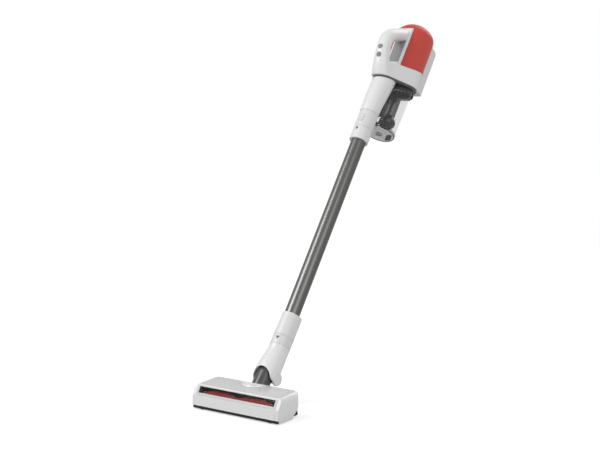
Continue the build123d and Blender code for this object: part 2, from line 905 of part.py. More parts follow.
release_w = socket_shift - socket_deep - key_proud
with BuildPart() as socket_band:
    add(stick_loft((
        (socket_seam + seat_gap, socket_across + 0.2, socket_deep, socket_shift),
        (inlet_base - seat_gap, socket_across + 0.2, socket_deep, socket_shift),
    )))
    with BuildSketch(stick.offset(socket_seam)):
        Circle(inlet_bore_d / 2)
    extrude(amount=socket_seam, mode=Mode.SUBTRACT)
    with BuildSketch(stick.offset(socket_seam)):
        Circle(wand_bore_r)
    extrude(amount=wand_high + seat_gap - socket_seam, mode=Mode.SUBTRACT)
    with BuildSketch(stick_side()):
        with Locations((release_w + release_deep / 2, release_at)):
            Rectangle(release_deep + 2 * slide_gap, key_long + 2 * slide_gap)
    extrude(amount=key_half + slide_gap, both=True, mode=Mode.SUBTRACT)
save(socket_band, "socket_band")

with BuildPart() as wand_release:
    with BuildSketch(stick_side()):
        with Locations((release_w + (release_deep - release_travel) / 2, release_at)):
            Rectangle(release_deep - release_travel, key_long)
    extrude(amount=key_half, both=True)
    fillet(wand_release.faces().sort_by(rearward)[0].edges(), 1.0)
save(wand_release, "wand_release")


def can_column(radius, low, high):
    """Round column about the motor's axis from low to high up the stick."""
    with BuildPart() as column:
        with BuildSketch(stick.offset(low)):
            with Locations((0, can_w)):
                Circle(radius)
        extrude(amount=high - low)
    return column.part


def slant_slab(low, high):
    """Everything between two of the slanted joints."""
    with BuildPart() as slab:
        with BuildSketch(slant_plane(low)):
            Rectangle(8 * base_r, 24 * base_r)
        extrude(amount=(high - low) * cos(radians(slant)))
    return slab.part


def above_shoulder(gap):
    """Everything above the shoulder's slanted plane, gap up from it."""
    lean_up = Plane(
        origin=on_stick(0, 0, shoulder_at + gap),
        x_dir=(1, 0, 0),
        z_dir=up_stick - back_stick * shoulder_slope,
    )
    with BuildPart() as slab:
        with BuildSketch(lean_up):
            Rectangle(8 * base_r, 8 * base_r)
        extrude(amount=8 * base_r)
    return slab.part


def hull_column(nose, base, low, high):
    """Upright column whose plan wraps the nose circle and the motor circle."""
    with BuildPart() as column:
        with BuildSketch(stick.offset(low)) as plan:
            with Locations((0, nose_w)):
                Circle(nose)
            with Locations((0, can_w)):
                Circle(base)
            make_hull()
        extrude(amount=high - low)
    return column.part


port_at = (port_low + port_high) / 2
port_high_l = port_high - port_low
with BuildPart() as inlet_sleeve:
    add(stick_loft((
        (inlet_base, socket_across + 0.6, socket_deep + 0.5, socket_shift),
        (inlet_base + inlet_flare, inlet_across - 3.4, inlet_deep - 3.5, inlet_shift - 7.6),
        (inlet_base + 2 * inlet_flare, inlet_across - 1.6, inlet_deep - 1.4, inlet_shift - 3.8),
        (inlet_base + 3 * inlet_flare, inlet_across, inlet_deep, inlet_shift),
        (inlet_base + 4 * inlet_flare, inlet_across + 1, inlet_deep + 1, inlet_shift + 3),
    )))
    add(slant_slab(gasket_at - seat_gap, gasket_at + 8 * inlet_flare), mode=Mode.SUBTRACT)
    add(can_column(bin_room_r, inlet_base - inlet_flare, gasket_at + 8 * inlet_flare), mode=Mode.SUBTRACT)
    with BuildSketch(stick.offset(inlet_base)):
        Circle(inlet_bore_d / 2)
    extrude(amount=port_high - inlet_base, mode=Mode.SUBTRACT)
    with BuildSketch(stick_side()):
        with Locations((can_w / 4, port_at)):
            Rectangle(can_w / 2, port_high_l)
    extrude(amount=port_half, both=True, mode=Mode.SUBTRACT)
save(inlet_sleeve, "inlet_sleeve")

# ---------------------------------------------------------------- hand unit

with BuildPart() as gasket_ring:
    add(hull_column(nose_r - seal_step, base_r - seal_step * 2, gasket_at - base_r, shoulder_at))
    add(slant_slab(gasket_at, band_at - seat_gap), mode=Mode.INTERSECT)
    add(can_column(air_hole_r, gasket_at - base_r, shoulder_at), mode=Mode.SUBTRACT)
save(gasket_ring, "gasket_ring")

with BuildPart() as cover_room_body:
    add(can_column(cover_r + slide_gap, band_at, cover_top))
    add(above_shoulder(0), mode=Mode.INTERSECT)
cover_room = cover_room_body.part
with BuildPart() as band_body:
    add(hull_column(nose_r, base_r, band_at - base_r, shoulder_at + base_r))
    add(above_shoulder(0), mode=Mode.SUBTRACT)
    add(slant_slab(gasket_at - 8 * base_r, band_at), mode=Mode.SUBTRACT)
band_block = band_body.part


def grip_button_plane(station):
    """Plane on the leaning front of the grip, looking away from the bin."""
    tilt = radians(button_tilt)
    return Plane(
        origin=on_stick(0, button_front - (station - mode_at) * tan(tilt), station),
        x_dir=(1, 0, 0),
        z_dir=-back_stick * cos(tilt) - up_stick * sin(tilt),
    )


power_plane = grip_button_plane(power_at)
mode_plane = grip_button_plane(mode_at)
spine_rear = can_w - cover_r + 10
with BuildPart() as spine_body:
    with BuildSketch(stick_side()) as spine:
        with Locations(((spine_face + spine_rear) / 2, (shoulder_at + spine_top) / 2)):
            Rectangle(spine_rear - spine_face, spine_top - shoulder_at)
        fillet(spine.vertices().sort_by(front_and_up)[-1], spine_crown)
    extrude(amount=spine_half, both=True)
    fillet(spine_body.edges().filter_by(stick_axis).sort_by(rearward)[:2], 3)
with BuildPart() as main_shell:
    with BuildLine(stick_side()) as grip_path:
        Spline(*grip_points)
    with BuildSketch(Plane(origin=grip_path.line @ 0, x_dir=(1, 0, 0), z_dir=grip_path.line % 0)):
        Ellipse(grip_half, grip_depth)
    sweep()
    add(stick_loft(grip_foot))
    add(spine_body.part)
    add(slant_slab(gasket_at - 8 * base_r, band_at), mode=Mode.SUBTRACT)
    add(cover_room, mode=Mode.SUBTRACT)
    add(band_block)
    add(can_column(cavity_r, cavity_floor, spine_top), mode=Mode.SUBTRACT)
    add(can_column(air_hole_r, gasket_at, spine_top), mode=Mode.SUBTRACT)
    with BuildSketch(stick_side()):
        with Locations((can_w + base_r + rail_neck / 2 - 1, (rail_low + rail_high) / 2)):
            Rectangle(rail_neck + 2, rail_high - rail_low)
    extrude(amount=rail_neck_half, both=True)
    with BuildSketch(stick_side()):
        with Locations((rail_rear - rail_t / 2, (rail_low + rail_high) / 2)):
            Rectangle(rail_t, rail_high - rail_low)
    extrude(amount=rail_half, both=True)
    with BuildSketch(stick_side()):
        with Locations((spine_face, (panel_low + panel_high) / 2)):
            Rectangle(2 * (panel_set + panel_t), panel_high - panel_low + 2 * seat_gap)
    extrude(amount=panel_half + seat_gap, both=True, mode=Mode.SUBTRACT)
    for button_plane in (power_plane, mode_plane):
        with BuildSketch(button_plane.offset(-button_pocket)):
            Circle(button_r + slide_gap)
        extrude(amount=3 * button_pocket, mode=Mode.SUBTRACT)
save(main_shell, "main_shell")

with BuildPart() as spine_panel:
    with BuildSketch(stick_side()):
        with Locations((spine_face + panel_set + panel_t / 2, (panel_low + panel_high) / 2)):
            Rectangle(panel_t - 2 * seat_gap, panel_high - panel_low)
    extrude(amount=panel_half, both=True)
    fillet(spine_panel.edges().filter_by(Axis(hinge_point, back_stick)), 3)
save(spine_panel, "spine_panel")

for button_name, button_plane in (("power_button", power_plane), ("mode_button", mode_plane)):
    with BuildPart() as round_button:
        with BuildSketch(button_plane.offset(button_travel + seat_gap - button_pocket)):
            Circle(button_r)
        extrude(amount=button_pocket - button_travel - seat_gap + button_proud)
        fillet(round_button.edges().filter_by(GeomType.CIRCLE).sort_by(rearward)[0], 0.6)
    save(round_button, button_name)

with BuildPart() as motor_can:
    add(can_column(cavity_r - slide_gap, cavity_floor + seat_gap, cavity_floor + plate_t))
    add(can_column(motor_can_r, cavity_floor + seat_gap, motor_can_top))
    motor_room = can_column(motor_can_r - plate_t, cavity_floor + plate_t, motor_can_top - plate_t)
    add(motor_room, mode=Mode.SUBTRACT)
    with BuildSketch(stick.offset(cavity_floor)):
        with Locations((0, can_w)):
            with PolarLocations(vent_ring_r, vent_count):
                Circle(vent_hole_r)
            Circle(rotor_shaft_r + shaft_gap)
    extrude(amount=motor_can_top, mode=Mode.SUBTRACT)
save(motor_can, "motor_can")

with BuildPart() as fan_rotor:
    with BuildSketch(stick.offset(cavity_floor + seat_gap)):
        with Locations((0, can_w)):
            Circle(rotor_shaft_r)
    extrude(amount=motor_can_top - cavity_floor - 2 * seat_gap)
    with BuildSketch(stick.offset(cavity_floor + 2 * plate_t)):
        with Locations((0, can_w)):
            Circle(rotor_r)
    extrude(amount=plate_t)
    with BuildSketch(stick.offset(cavity_floor + 3 * plate_t)):
        with Locations((0, can_w)):
            Circle(rotor_hub_r)
            with PolarLocations(0, blade_count):
                with Locations((rotor_r / 2, 0)):
                    Rectangle(rotor_r - 1, blade_t)
    extrude(amount=blade_high)
    with BuildSketch(stick.offset(cavity_floor + 3 * plate_t)):
        with Locations((0, can_w)):
            Circle(rotor_hub_r)
    extrude(amount=motor_can_top - cavity_floor - 5 * plate_t)
save(fan_rotor, "fan_rotor")


def dome(inset):
    """Column with the cover's domed top, drawn in by inset."""
    with BuildPart() as form:
        with BuildSketch(Plane(origin=on_stick(0, can_w, 0), x_dir=back_stick, z_dir=(1, 0, 0))):
            with BuildLine():
                low = Line((0, band_at), (cover_r - inset, band_at))
                side = Line(low @ 1, (cover_r - inset, cover_straight))
                top = Spline(
                    side @ 1,
                    ((cover_r - inset) * 0.94, cover_straight + (cover_top - cover_straight) * 0.44),
                    ((cover_r - inset) * 0.7, cover_top - inset - (cover_top - cover_straight) * 0.16),
                    (0, cover_top - inset),
                    tangents=((0, 1), (-1, 0)),
                )
                Line(top @ 1, low @ 0)
            make_face()
        revolve(axis=can_axis)
    return form.part


with BuildPart() as filter_cover:
    add(dome(0))
    add(dome(cover_wall), mode=Mode.SUBTRACT)
    add(can_column(cover_r - cover_wall, band_at - 1, cover_straight), mode=Mode.SUBTRACT)
    add(above_shoulder(seat_gap), mode=Mode.INTERSECT)
save(filter_cover, "filter_cover")

with BuildPart() as cover_catch:
    add(dome(-catch_t))
    add(dome(-seat_gap), mode=Mode.SUBTRACT)
    with BuildSketch(stick_side()):
        with Locations((can_w + cover_r, (catch_low + catch_high) / 2)):
            Rectangle(1.6 * cover_r, catch_high - catch_low)
    extrude(amount=catch_half, both=True, mode=Mode.INTERSECT)
save(cover_catch, "cover_catch")

with BuildPart() as filter_frame:
    with BuildSketch(stick.offset(filter_top)):
        with Locations((0, can_w)):
            Circle(cover_r - cover_wall - seat_gap)
            Circle(filter_r - 2 * plate_t, mode=Mode.SUBTRACT)
    extrude(amount=-plate_t)
save(filter_frame, "filter_frame")

with BuildPart() as filter_core:
    with BuildSketch(stick.offset(filter_base)):
        with Locations((0, can_w)):
            Circle(filter_r)
            Circle(filter_r / 2, mode=Mode.SUBTRACT)
    extrude(amount=filter_top - plate_t - seat_gap - filter_base)
save(filter_core, "filter_core")

# ---------------------------------------------------------------- battery

battery_mid = (battery_front + battery_rear) / 2
rail_mouth = battery_low - 1
with BuildPart() as battery_pack:
    with BuildSketch(stick_side()) as battery_face:
        with Locations((battery_mid, (battery_low + battery_top) / 2)):
            Rectangle(battery_rear - battery_front, battery_top - battery_low)
        fillet(battery_face.vertices().sort_by(rear_and_up)[-1], battery_crown)
    extrude(amount=battery_half, both=True)
    fillet(battery_pack.faces().sort_by(Axis.X)[0].edges().group_by(rearward)[-1], battery_round * 0.4)
    fillet(battery_pack.faces().sort_by(Axis.X)[-1].edges().group_by(rearward)[-1], battery_round * 0.4)
    add(can_column(cover_r + move_gap, battery_low - 1, cover_top), mode=Mode.SUBTRACT)
    add(can_column(base_r + move_gap, battery_low - 1, battery_step), mode=Mode.SUBTRACT)
    with BuildSketch(stick_side()):
        with Locations((battery_mid, (rail_mouth + rail_high + slide_gap) / 2)):
            Rectangle(2 * (rail_rear - rail_t - slide_gap - battery_mid) + 1, rail_high + slide_gap - rail_mouth)
    extrude(amount=rail_neck_half + slide_gap, both=True, mode=Mode.SUBTRACT)
    with BuildSketch(stick_side()):
        with Locations((rail_rear - rail_t / 2, (rail_mouth + rail_high + slide_gap) / 2)):
            Rectangle(rail_t + 2 * slide_gap, rail_high + slide_gap - rail_mouth)
    extrude(amount=rail_half + slide_gap, both=True, mode=Mode.SUBTRACT)
    with BuildSketch(stick_side()):
        with Locations((latch_rear - tongue_w / 2 - latch_travel / 2 - 1, battery_low + tongue_high / 2)):
            Rectangle(tongue_w + latch_travel + 2 * slide_gap, tongue_high + 2 * slide_gap)
    extrude(amount=tongue_half + slide_gap, both=True, mode=Mode.SUBTRACT)
save(battery_pack, "battery_pack")

with BuildPart() as battery_latch:
    with BuildSketch(stick_side()):
        with Locations((latch_rear - latch_t / 2, latch_low + (battery_low - slide_gap - latch_low) / 2)):
            Rectangle(latch_t, battery_low - slide_gap - latch_low)
    extrude(amount=latch_half, both=True)
    fillet(battery_latch.edges().filter_by(Axis.X).group_by(rearward)[-1], 2.5)
    with BuildSketch(stick_side()):
        with Locations((latch_rear - 1 - tongue_w / 2, battery_low + (tongue_high - 2) / 2)):
            Rectangle(tongue_w, tongue_high + 2)
    extrude(amount=tongue_half, both=True)
save(battery_latch, "battery_latch")

# ---------------------------------------------------------------- dust bin

def bin_cone(inset, low, high):
    """The cup's cone, drawn in by inset."""
    with BuildPart() as cone:
        with BuildSketch(stick.offset(low)):
            with Locations((0, can_w)):
                Circle(bin_low_r - inset)
        with BuildSketch(stick.offset(high)):
            with Locations((0, can_w)):
                Circle(bin_top_r - inset)
        loft()
    return cone.part


bin_front = can_w - bin_low_r
bin_back = can_w + bin_low_r
lid_top = bin_low - seat_gap
lid_low = lid_top - lid_t
with BuildPart() as bin_cup:
    add(bin_cone(0, bin_low, bin_high))
    with BuildSketch(stick_side()):
        with Locations((bin_front, (bin_low + lug_top) / 2)):
            Rectangle(2 * (bin_front - lid_pin_w), lug_top - bin_low)
        with Locations((lid_pin_w, lid_pin_t)):
            Circle(lid_barrel_r)
        with Locations((lid_pin_w, (lid_pin_t + lug_top) / 2)):
            Rectangle(2 * lid_barrel_r, lug_top - lid_pin_t)
    extrude(amount=lug_half, both=True)
    with BuildSketch(stick_side()):
        with Locations((lid_pin_w, lid_pin_t)):
            Rectangle(4 * lid_barrel_r + 2 * move_gap, 2 * (lug_top - lid_pin_t) + 2 * lid_barrel_r)
    extrude(amount=barrel_half + slide_gap, both=True, mode=Mode.SUBTRACT)
    with BuildSketch(stick_side()):
        with Locations((bin_back + latch_boss / 2 - 1, latch_boss_at)):
            Rectangle(latch_boss + 2, latch_boss_l)
    extrude(amount=latch_boss_half, both=True)
    add(bin_cone(bin_wall, bin_low, bin_high), mode=Mode.SUBTRACT)
    add(slant_slab(rim_at, gasket_at + base_r), mode=Mode.SUBTRACT)
    with BuildSketch(stick_side()):
        with Locations((bin_front - bin_wall, port_at)):
            Rectangle(4 * bin_wall + 12, port_high_l)
    extrude(amount=port_half, both=True, mode=Mode.SUBTRACT)
    with BuildSketch(stick_side()):
        with Locations((lid_pin_w, lid_pin_t)):
            Circle(lid_pin_r)
    extrude(amount=2 * lug_half, both=True, mode=Mode.SUBTRACT)
save(bin_cup, "bin_cup")

with BuildPart() as bin_collar:
    add(can_column(collar_ring_r, bin_low, gasket_at + base_r))
    with BuildSketch(stick_side()):
        with Locations(((tab_from + tab_to) / 2, (tab_low + gasket_at + base_r) / 2)):
            Rectangle(tab_to - tab_from, gasket_at + base_r - tab_low)
    extrude(amount=tab_half, both=True)
    add(slant_slab(rim_at + seat_gap, gasket_at - seat_gap), mode=Mode.INTERSECT)
    with BuildPart(mode=Mode.SUBTRACT):
        add(can_column(bin_top_r - bin_wall, bin_low, gasket_at + base_r))
        add(slant_slab(rim_at - base_r, roof_at), mode=Mode.INTERSECT)
    with BuildSketch(stick.offset(rim_at)):
        with Locations((0, shroud_w)):
            Circle(shroud_r - 3)
    extrude(amount=2 * base_r, mode=Mode.SUBTRACT)
save(bin_collar, "bin_collar")

with BuildPart() as cyclone_shroud:
    with BuildSketch(stick.offset(shroud_low)):
        with Locations((0, shroud_w)):
            Circle(shroud_r)
            Circle(shroud_r - 1.5, mode=Mode.SUBTRACT)
    extrude(amount=gasket_at - shroud_low)
    add(slant_slab(roof_at - seat_gap, gasket_at + base_r), mode=Mode.SUBTRACT)
save(cyclone_shroud, "cyclone_shroud")

with BuildPart() as cyclone_bell:
    with BuildSketch(Plane(origin=on_stick(0, shroud_w, 0), x_dir=back_stick, z_dir=(1, 0, 0))):
        with BuildLine():
            roof = Line((0, shroud_low - seat_gap), (shroud_r, shroud_low - seat_gap))
            skirt = Spline(
                roof @ 1,
                (bell_r - 2, (shroud_low + bell_low) / 2 + 6),
                (bell_r, (shroud_low + bell_low) / 2 - 4),
                (bell_r * 0.8, bell_low + 4),
                (0, bell_low),
                tangents=((0.2, -1), (-1, 0)),
            )
            Line(skirt @ 1, roof @ 0)
        make_face()
    revolve(axis=shroud_axis)
save(cyclone_bell, "cyclone_bell")

chute_mid = (chute_front + chute_back) / 2
with BuildPart() as inlet_chute:
    with BuildSketch(stick_side()):
        with Locations((chute_mid, (chute_low + bin_high) / 2)):
            Rectangle(chute_back - chute_front, bin_high - chute_low)
    extrude(amount=chute_half, both=True)
    add(bin_cone(bin_wall + seat_gap, bin_low, bin_high), mode=Mode.INTERSECT)
    add(slant_slab(roof_at - seat_gap, gasket_at + base_r), mode=Mode.SUBTRACT)
    with BuildSketch(stick_side(chute_wall - chute_half)):
        with Locations((chute_mid - chute_wall, port_at)):
            Rectangle(chute_back - chute_front, port_high_l)
    extrude(amount=2 * chute_half, mode=Mode.SUBTRACT)
save(inlet_chute, "inlet_chute")

with BuildPart() as bin_lid:
    add(can_column(bin_low_r, lid_low, lid_top))
    fillet(bin_lid.edges().group_by(stick_axis)[0], 3)
    with BuildSketch(stick_side()):
        with Locations((lid_pin_w, lid_pin_t)):
            Circle(lid_barrel_r)
        with Locations(((lid_pin_w + bin_front + 2) / 2, lid_pin_t)):
            Rectangle(bin_front + 2 - lid_pin_w, 2 * lid_barrel_r)
    extrude(amount=barrel_half, both=True)
    with BuildSketch(stick_side()):
        with Locations((lid_pin_w, lid_pin_t)):
            Circle(lid_pin_r)
    extrude(amount=barrel_half, both=True, mode=Mode.SUBTRACT)
    for side in (-1, 1):
        with BuildSketch(stick_side(side * (lug_half + barrel_half + slide_gap) / 2)):
            with Locations((lid_pin_w, lid_pin_t)):
                Circle(lid_barrel_r + move_gap)
            with Locations((lid_pin_w, lid_top)):
                Rectangle(2 * (lid_barrel_r + move_gap), 2 * (lid_top - lid_pin_t))
        extrude(amount=(lug_half - barrel_half + slide_gap) / 2, both=True, mode=Mode.SUBTRACT)
save(bin_lid, "bin_lid")

with BuildPart() as lid_knob:
    with BuildSketch(stick.offset(lid_low - seat_gap)):
        with Locations((0, can_w)):
            Circle(knob_r)
    extrude(amount=-knob_t)
    fillet(lid_knob.edges().group_by(stick_axis)[0], 1.5)
save(lid_knob, "lid_knob")

with BuildPart() as lid_pin:
    with BuildSketch(stick_side()):
        with Locations((lid_pin_w, lid_pin_t)):
            Circle(lid_pin_r - shaft_gap)
    extrude(amount=lug_half, both=True)
save(lid_pin, "lid_pin")

with BuildPart() as bin_latch:
    with BuildSketch(stick_side()):
        with Locations((bin_back + latch_boss + seat_gap + bin_latch_t / 2, latch_boss_at)):
            Rectangle(bin_latch_t, bin_latch_l)
    extrude(amount=latch_boss_half, both=True)
    fillet(bin_latch.faces().sort_by(rearward)[-1].edges(), 1)
save(bin_latch, "bin_latch")
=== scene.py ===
"""Cordless stick vacuum: finishes, small detail pieces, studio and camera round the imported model."""

import json
import logging
import math
import random
from dataclasses import dataclass
from typing import Sequence

import bpy
from mathutils import Matrix, Vector

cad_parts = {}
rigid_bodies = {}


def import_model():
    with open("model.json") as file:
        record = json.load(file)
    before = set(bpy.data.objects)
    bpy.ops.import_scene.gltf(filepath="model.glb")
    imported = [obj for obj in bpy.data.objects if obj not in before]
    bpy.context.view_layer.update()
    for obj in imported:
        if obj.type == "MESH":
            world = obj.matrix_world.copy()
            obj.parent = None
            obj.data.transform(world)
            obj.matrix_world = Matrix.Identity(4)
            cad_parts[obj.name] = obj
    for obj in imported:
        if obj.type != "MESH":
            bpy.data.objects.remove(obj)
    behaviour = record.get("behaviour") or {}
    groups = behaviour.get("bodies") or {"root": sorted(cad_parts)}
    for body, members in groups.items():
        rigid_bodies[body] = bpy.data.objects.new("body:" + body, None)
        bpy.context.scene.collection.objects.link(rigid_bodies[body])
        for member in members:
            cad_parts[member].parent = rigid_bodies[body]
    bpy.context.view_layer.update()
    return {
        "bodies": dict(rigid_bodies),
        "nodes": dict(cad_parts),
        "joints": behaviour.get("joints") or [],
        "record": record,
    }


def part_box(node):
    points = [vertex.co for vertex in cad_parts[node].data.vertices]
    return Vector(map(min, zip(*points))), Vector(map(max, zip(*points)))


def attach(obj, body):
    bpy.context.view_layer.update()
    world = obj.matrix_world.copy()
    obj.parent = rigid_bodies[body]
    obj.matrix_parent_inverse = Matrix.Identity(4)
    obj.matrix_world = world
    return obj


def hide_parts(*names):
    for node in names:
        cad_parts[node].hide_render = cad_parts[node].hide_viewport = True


LOG = logging.getLogger("stick_vacuum")
MM = 0.001
RANDOM_SEED = 7

Colour = tuple[float, float, float]


def grey(level: float) -> Colour:
    """Return a neutral colour of that level."""
    return (level, level, level)


# ---------------------------------------------------------------- frames


@dataclass(frozen=True)
class StickFrame:
    """The stick's own frame: x across, y towards the bin, z up the stick from the neck hinge.

    Args:
        lean: Degrees that the stick leans back.
        grip_forward: Distance of the grip's axis in front of the stick's, in mm.
        grip_station: Height of the grip's middle up the stick from the hinge, in mm.
    """

    lean: float = 36.0
    grip_forward: float = 45.5
    grip_station: float = 932.0

    @property
    def up(self) -> Vector:
        """Direction up the stick."""
        angle = math.radians(self.lean)
        return Vector((0, math.sin(angle), math.cos(angle)))

    @property
    def back(self) -> Vector:
        """Direction across the stick, towards the bin."""
        angle = math.radians(self.lean)
        return Vector((0, math.cos(angle), -math.sin(angle)))

    @property
    def hinge(self) -> Vector:
        """The neck hinge, in mm."""
        return self.back * self.grip_forward - self.up * self.grip_station

    @property
    def matrix(self) -> Matrix:
        """Matrix from stick millimetres to the row frame in metres."""
        turn = Matrix(((1, 0, 0), self.back, self.up)).transposed().to_4x4()
        return Matrix.Translation(self.hinge * MM) @ turn @ Matrix.Scale(MM, 4)


@dataclass(frozen=True)
class HeadFrame:
    """The floor head's frame: x across, y back from its front, z above the floor.

    Args:
        stick: The stick's frame, whose hinge places the head.
        hinge_height: Height of the hinge above the floor, in mm.
        hinge_back: Distance of the hinge behind the head's front, in mm.
    """

    stick: StickFrame = StickFrame()
    hinge_height: float = 64.5
    hinge_back: float = 129.2

    @property
    def corner(self) -> Vector:
        """The head's front edge on the floor, in mm."""
        return self.stick.hinge - Vector((0, self.hinge_back, self.hinge_height))

    @property
    def matrix(self) -> Matrix:
        """Matrix from head millimetres to the row frame in metres."""
        return Matrix.Translation(self.corner * MM) @ Matrix.Scale(MM, 4)


STICK = StickFrame()
HEAD = HeadFrame()


# ---------------------------------------------------------------- finishes


class NodeSketch:
    """A material's node tree, with short calls for the nodes that the finishes share."""

    def __init__(self, name: str) -> None:
        """Start an empty material of that name with a Principled shader."""
        self.material = bpy.data.materials.new(name)
        self.material.use_nodes = True
        self.tree = self.material.node_tree
        self.shader = self.tree.nodes["Principled BSDF"]
        self.places = self.tree.nodes.new("ShaderNodeTexCoord").outputs["Object"]

    def set(self, **values: object) -> None:
        """Set the shader's sockets, with underscores for the spaces in their names."""
        for name, value in values.items():
            self.shader.inputs[name.replace("_", " ")].default_value = value

    def link(self, source: bpy.types.NodeSocket, target: bpy.types.NodeSocket) -> None:
        """Join two sockets."""
        self.tree.links.new(source, target)

    def mapped(self, matrix: Matrix, scale: Sequence[float] = (1, 1, 1)) -> bpy.types.NodeSocket:
        """Return Object coordinates seen from a turned frame, then scaled.

        Args:
            matrix: The frame, in the row's metres.
            scale: Scale along each of the frame's axes.

        Returns:
            The mapped coordinates.
        """
        inverse = matrix.inverted()
        shift = self.tree.nodes.new("ShaderNodeMapping")
        shift.inputs["Location"].default_value = inverse.to_translation()
        shift.inputs["Rotation"].default_value = inverse.to_euler()
        shift.inputs["Scale"].default_value = inverse.to_scale()
        self.link(self.places, shift.inputs["Vector"])
        stretch = self.tree.nodes.new("ShaderNodeMapping")
        stretch.inputs["Scale"].default_value = scale
        self.link(shift.outputs["Vector"], stretch.inputs["Vector"])
        return stretch.outputs["Vector"]

    def noise(self, vector: bpy.types.NodeSocket, scale: float, detail: float = 2.0) -> bpy.types.NodeSocket:
        """Return a noise value over the vector."""
        node = self.tree.nodes.new("ShaderNodeTexNoise")
        node.inputs["Scale"].default_value = scale
        node.inputs["Detail"].default_value = detail
        self.link(vector, node.inputs["Vector"])
        return node.outputs["Fac"]

    def spread(self, value: bpy.types.NodeSocket, low: float, high: float) -> bpy.types.NodeSocket:
        """Return the value mapped from its middle range to low and high."""
        node = self.tree.nodes.new("ShaderNodeMapRange")
        node.inputs["From Min"].default_value = 0.3
        node.inputs["From Max"].default_value = 0.7
        node.inputs["To Min"].default_value = low
        node.inputs["To Max"].default_value = high
        self.link(value, node.inputs["Value"])
        return node.outputs["Result"]

    def math(self, operation: str, *terms: object) -> bpy.types.NodeSocket:
        """Return the outcome of a maths node on sockets or numbers."""
        node = self.tree.nodes.new("ShaderNodeMath")
        node.operation = operation
        for slot, term in zip(node.inputs, terms):
            if isinstance(term, (int, float)):
                slot.default_value = term
            else:
                self.link(term, slot)
        return node.outputs["Value"]

    def blend(self, factor: bpy.types.NodeSocket, low: Colour, high: Colour) -> bpy.types.NodeSocket:
        """Return a colour between low and high by the factor."""
        node = self.tree.nodes.new("ShaderNodeMix")
        node.data_type = "RGBA"
        self.link(factor, node.inputs["Factor"])
        node.inputs[6].default_value = (*low, 1)
        node.inputs[7].default_value = (*high, 1)
        return node.outputs[2]

    def bump(self, height: bpy.types.NodeSocket, strength: float, distance: float) -> None:
        """Raise the surface by the height."""
        node = self.tree.nodes.new("ShaderNodeBump")
        node.inputs["Strength"].default_value = strength
        node.inputs["Distance"].default_value = distance
        self.link(height, node.inputs["Height"])
        self.link(node.outputs["Normal"], self.shader.inputs["Normal"])

    def colour(self, source: bpy.types.NodeSocket) -> None:
        """Drive the base colour."""
        self.link(source, self.shader.inputs["Base Color"])

    def roughness(self, source: bpy.types.NodeSocket) -> None:
        """Drive the roughness."""
        self.link(source, self.shader.inputs["Roughness"])


def tinted(colour: Colour, factor: float) -> Colour:
    """Return the colour made lighter or darker by a factor, kept under white."""
    return tuple(min(1.0, part * factor) for part in colour)


@dataclass(frozen=True)
class MouldedPlastic:
    """Moulded plastic with a fine texture, faint clouding and handling marks in its gloss.

    Args:
        name: The material's name.
        colour: Its colour.
        gloss: Lowest roughness.
        dull: Highest roughness.
        grain: Height of the moulded texture, in metres.
        coat: Strength of the glossy skin.
    """

    name: str
    colour: Colour
    gloss: float = 0.3
    dull: float = 0.45
    grain: float = 0.00003
    coat: float = 0.0

    def material(self) -> bpy.types.Material:
        """Build the material."""
        sketch = NodeSketch(self.name)
        clouds = sketch.noise(sketch.places, 9.0, 3.0)
        marks = sketch.noise(sketch.places, 60.0, 5.0)
        texture = sketch.noise(sketch.places, 2600.0, 1.0)
        sketch.colour(sketch.blend(clouds, tinted(self.colour, 0.965), tinted(self.colour, 1.03)))
        sketch.roughness(sketch.spread(marks, self.gloss, self.dull))
        sketch.bump(texture, 0.35, self.grain)
        sketch.set(Coat_Weight=self.coat, Coat_Roughness=0.12, IOR=1.48)
        return sketch.material


@dataclass(frozen=True)
class AnodisedTube:
    """Anodised metal tube with fine lengthwise drawing lines.

    Args:
        name: The material's name.
        colour: Its colour.
        rough: Mean roughness.
    """

    name: str
    colour: Colour
    rough: float = 0.34

    def material(self) -> bpy.types.Material:
        """Build the material."""
        sketch = NodeSketch(self.name)
        along = sketch.mapped(STICK.matrix @ Matrix.Scale(1 / MM, 4), (1500.0, 1500.0, 5.0))
        lines = sketch.noise(along, 1.0, 3.0)
        sketch.colour(sketch.blend(lines, tinted(self.colour, 0.95), tinted(self.colour, 1.05)))
        sketch.roughness(sketch.spread(lines, self.rough - 0.02, self.rough + 0.04))
        sketch.bump(lines, 0.1, 0.00001)
        sketch.set(Metallic=0.85)
        return sketch.material


@dataclass(frozen=True)
class ClearPlastic:
    """Clear or smoked moulded plastic that shows what lies behind it.

    Args:
        name: The material's name.
        colour: Its tint.
        see_through: Share of the light that passes.
        rough: Mean roughness.
        coat: Strength of the glossy skin.
    """

    name: str
    colour: Colour
    see_through: float
    rough: float = 0.06
    coat: float = 0.25

    def material(self) -> bpy.types.Material:
        """Build the material."""
        sketch = NodeSketch(self.name)
        haze = sketch.noise(sketch.places, 35.0, 4.0)
        sketch.colour(sketch.blend(haze, tinted(self.colour, 0.93), tinted(self.colour, 1.07)))
        sketch.roughness(sketch.spread(haze, self.rough, self.rough + 0.07))
        sketch.set(Alpha=1.0 - self.see_through, IOR=1.49, Coat_Weight=self.coat, Coat_Roughness=0.05)
        sketch.material.use_transparent_shadow = True
        return sketch.material


